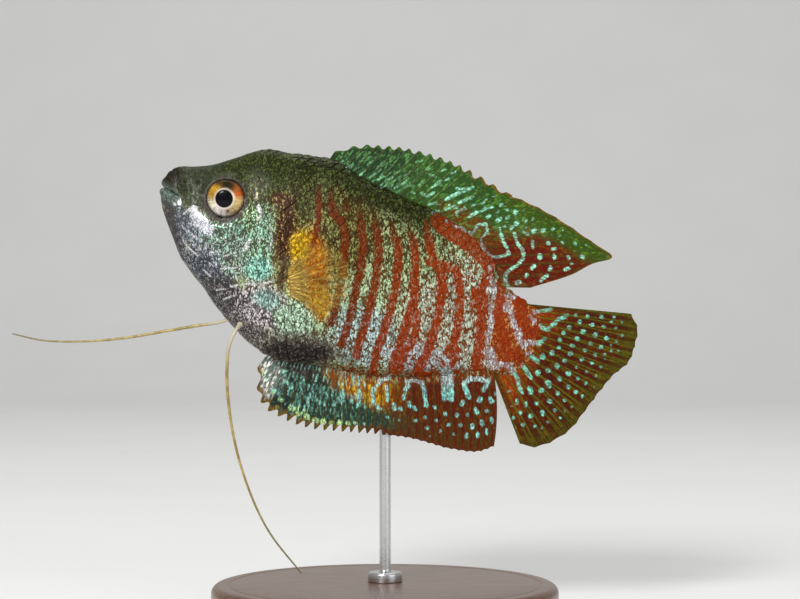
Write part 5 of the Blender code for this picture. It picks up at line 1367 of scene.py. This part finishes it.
# Display stand: turned wooden base and a steel rod up to the right flank (millimetres in the frame)
stand = {
    "radius": 26.0, "height": 5.0, "edge": 1.2, "sides": 180, "rodX": 0.0, "rodY": 2.35, "rodRadius": 0.85,
         "rodSides": 64,
    "footRadius": 2.6, "footHeight": 1.2, "woodDark": (0.060, 0.025, 0.011, 1.0),
         "woodLight": (0.15, 0.066, 0.028, 1.0),
}


def makeWood():
    material, tree, shader = newMaterial("wood", {"Coat Weight": 0.35, "Coat Roughness": 0.18, "IOR": 1.5})
    place = inMillimetres(tree)
    bent = add(tree, "ShaderNodeTexNoise", {"Vector": place, "Scale": 0.035, "Detail": 2.0}).outputs["Color"]
    shift = vector(tree, "SCALE", bent, 5.0)[0]
    spot = add(tree, "ShaderNodeVectorMath", {0: place, 1: shift}, operation="ADD").outputs[0]
    axes = split(tree, spot)
    rings = maths(tree, "SQRT", plus(tree, maths(tree, "POWER", plus(tree, axes[1], 44.0), 2.0),
                                      maths(tree, "POWER", plus(tree, axes[2], 31.0), 2.0)))
    wave = maths(tree, "FRACT", times(tree, rings, 0.70))
    late = times(tree, span(tree, wave, 0.35, 0.92), span(tree, wave, 1.0, 0.93))
    long = add(tree, "ShaderNodeMapping", {"Vector": place, "Scale": (0.12, 2.2, 2.2)}).outputs[0]
    fibre = noise(tree, long, 1.6, 4.0, 0.65)
    pores = span(tree, noise(tree, long, 3.4, 2.0), 0.60, 0.72)
    tone = plus(tree, times(tree, late, 0.30), times(tree, fibre, 0.7))
    colour = mixed(tree, span(tree, tone, 0.12, 0.95), stand["woodLight"], stand["woodDark"])
    colour = mixed(tree, times(tree, pores, 0.55), colour, (0.02, 0.009, 0.005, 1.0))
    plug(tree, colour, shader.inputs["Base Color"])
    plug(tree, plus(tree, times(tree, fibre, 0.2), 0.28), shader.inputs["Roughness"])
    roughen(tree, shader, minus(tree, fibre, pores), 0.2, 0.0001)
    return material


def makeSteel():
    material, tree, shader = newMaterial("steel", {"Metallic": 1.0, "Base Color": (0.62, 0.62, 0.63, 1.0)})
    place = inMillimetres(tree)
    long = add(tree, "ShaderNodeMapping", {"Vector": place, "Scale": (1.0, 1.0, 14.0)}).outputs[0]
    brushed = noise(tree, long, 1.6, 3.0, 0.6)
    smudge = noise(tree, place, 0.25, 3.0, 0.6)
    plug(tree, mixed(tree, brushed, (0.50, 0.50, 0.52, 1.0), (0.70, 0.70, 0.70, 1.0)), shader.inputs["Base Color"])
    rough = plus(tree, times(tree, brushed, 0.16), times(tree, smudge, 0.12))
    plug(tree, plus(tree, rough, 0.14), shader.inputs["Roughness"])
    roughen(tree, shader, brushed, 0.15, 0.00004)
    return material


def makeTurned(name, profile, sides, centre, material):   # closed turned shape from an (r, z) profile, axis to axis
    turn = 2 * np.pi * np.arange(sides) / sides
    inner = np.array(profile[1:-1], float)
    radius, level = inner[:, :1], inner[:, 1:] + 0 * turn[None, :]
    rings = np.stack([centre[0] + radius * np.cos(turn), centre[1] + radius * np.sin(turn), level], 2)
    points = np.vstack([rings.reshape(-1, 3), [(*centre, profile[0][1])], [(*centre, profile[-1][1])]])
    faces = quadGrid(len(inner), sides, True)
    faces += capFaces(len(points) - 2, len(points) - 1, (len(inner) - 1) * sides, sides)
    piece = makePiece(name, points, faces, material, False)
    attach(piece, "root")
    return piece


def bend(r, z, radius, first, last, steps):   # points of an arc in a profile, angles in degrees
    turns = [math.radians(a) for a in np.linspace(first, last, steps)]
    return [(r + radius * math.cos(a), z + radius * math.sin(a)) for a in turns]


def makeStand():
    radius, height, edge = stand["radius"], stand["height"], stand["edge"]
    profile = [(0.0, 0.0), (radius * 0.6, 0.0), (radius - 0.4, 0.0)] + bend(radius - 0.35, 0.35, 0.35, -80, -10, 4)
    profile += [(radius, 0.5), (radius, 2.1)] + bend(radius - edge, height - edge, edge, 0, 88, 12)
    profile += [(radius - edge - 1.2, height), (radius - edge - 1.3, height - 0.02)]
    profile += [(radius - edge - 1.45, height - 0.16), (radius - edge - 1.6, height - 0.02), (radius - edge - 1.7,
                                                                                              height)]
    profile += [(radius * share, height) for share in (0.7, 0.45, 0.2)] + [(0.0, height)]
    base = makeTurned("woodenBase", profile, stand["sides"], (0.0, 0.0), makeWood())
    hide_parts("stand_base")
    rod, foot = stand["rodRadius"], stand["footRadius"]
    low = height + 0.02
    top = low + stand["footHeight"] + 0.28
    x, y = stand["rodX"], stand["rodY"]
    start = Vector(toFish([(x * 0.001, y * 0.001, top * 0.001)])[0])
    up = Vector(toFish([(0.0, 0.0, 0.001)])[0] - toFish([(0.0, 0.0, 0.0)])[0])
    reach = skinTree.ray_cast(start, up)[3]
    profile = [(0.0, low), (foot - 0.1, low)] + bend(foot - 0.12, low + 0.12, 0.12, -80, 0, 4)
    profile += bend(foot - 0.4, top - 0.4, 0.4, 0, 85, 8) + [(rod + 0.35, top)]
    profile += bend(rod + 0.3, top + 0.3, 0.3, 260, 185, 6)
    profile += [(rod, top + 0.6 + (reach - 0.4) * share) for share in (0.0, 0.25, 0.5, 0.75, 1.0)]
    profile.append((0.0, top + 0.2 + reach))
    post = makeTurned("steelRod", profile, stand["rodSides"], (x, y), makeSteel())
    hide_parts("stand_rod")
    print("stand made, rod", round(reach, 1), "mm above its foot")


makeStand()

scene = bpy.context.scene
scene.view_settings.view_transform = "Standard"
studio = {   # world strength; lights: place, aim, size and power; floor and wall in millimetres
    "world": 0.40, "floorFront": -6000.0, "floorRear": 700.0, "curve": 400.0, "wallTop": 2600.0, "halfWidth": 3000.0,
    "lights": {
        "key": ((-0.22, -0.45, 0.36), (0.0, 0.0, 0.05), 0.16, 2.7),
        "fill": ((0.45, -0.40, 0.22), (0.0, 0.0, 0.05), 0.45, 0.8),
        "top": ((0.05, 0.15, 0.55), (0.0, 0.0, 0.05), 0.40, 0.8),
        "wall": ((0.0, 0.35, 0.95), (0.0, 1.1, 0.35), 0.60, 2.2),
    },
}


def makeStage():
    material, tree, shader = newMaterial("paper", {"Roughness": 0.9, "Base Color": (0.8, 0.8, 0.79, 1.0)})
    grain = noise(tree, inMillimetres(tree), 0.02, 3.0)
    plug(tree, mixed(tree, grain, (0.78, 0.78, 0.77, 1.0), (0.83, 0.83, 0.82, 1.0)), shader.inputs["Base Color"])
    rear, curve = studio["floorRear"], studio["curve"]
    profile = [(studio["floorFront"], 0.0), (rear, 0.0)]
    profile += [(rear + curve * math.sin(a), curve - curve * math.cos(a)) for a in np.linspace(0.1, np.pi / 2, 14)]
    profile.append((rear + curve, studio["wallTop"]))
    points = [(x, y, z) for y, z in profile for x in (-studio["halfWidth"], studio["halfWidth"])]
    faces = [(2 * k, 2 * k + 1, 2 * k + 3, 2 * k + 2) for k in range(len(profile) - 1)]
    backdrop = makePiece("backdrop", points, faces, material, False)
    world = bpy.data.worlds.new("studio")
    world.use_nodes = True
    world.node_tree.nodes["Background"].inputs[0].default_value = (0.93, 0.93, 0.92, 1.0)
    world.node_tree.nodes["Background"].inputs[1].default_value = studio["world"]
    scene.world = world
    for name, (place, aim, size, power) in studio["lights"].items():
        light = bpy.data.lights.new(name, "AREA")
        light.size, light.energy = size, power
        lamp = newObject(name, light)
        lamp.location = place
        lamp.rotation_euler = (Vector(aim) - Vector(place)).to_track_quat("-Z", "Y").to_euler()


view = {"x": 0.00225, "z": 0.0476, "distance": 0.3333, "lens": 100.0, "sensor": 36.0}


def makeCamera():
    lens = bpy.data.cameras.new("camera")
    lens.lens, lens.sensor_width = view["lens"], view["sensor"]
    lens.clip_start, lens.clip_end = 0.01, 20.0
    camera = newObject("camera", lens)
    camera.location = (view["x"], -view["distance"], view["z"])
    camera.rotation_euler = (math.pi / 2, 0.0, 0.0)
    scene.camera = camera


makeStage()
makeCamera()
print("stage and camera made")
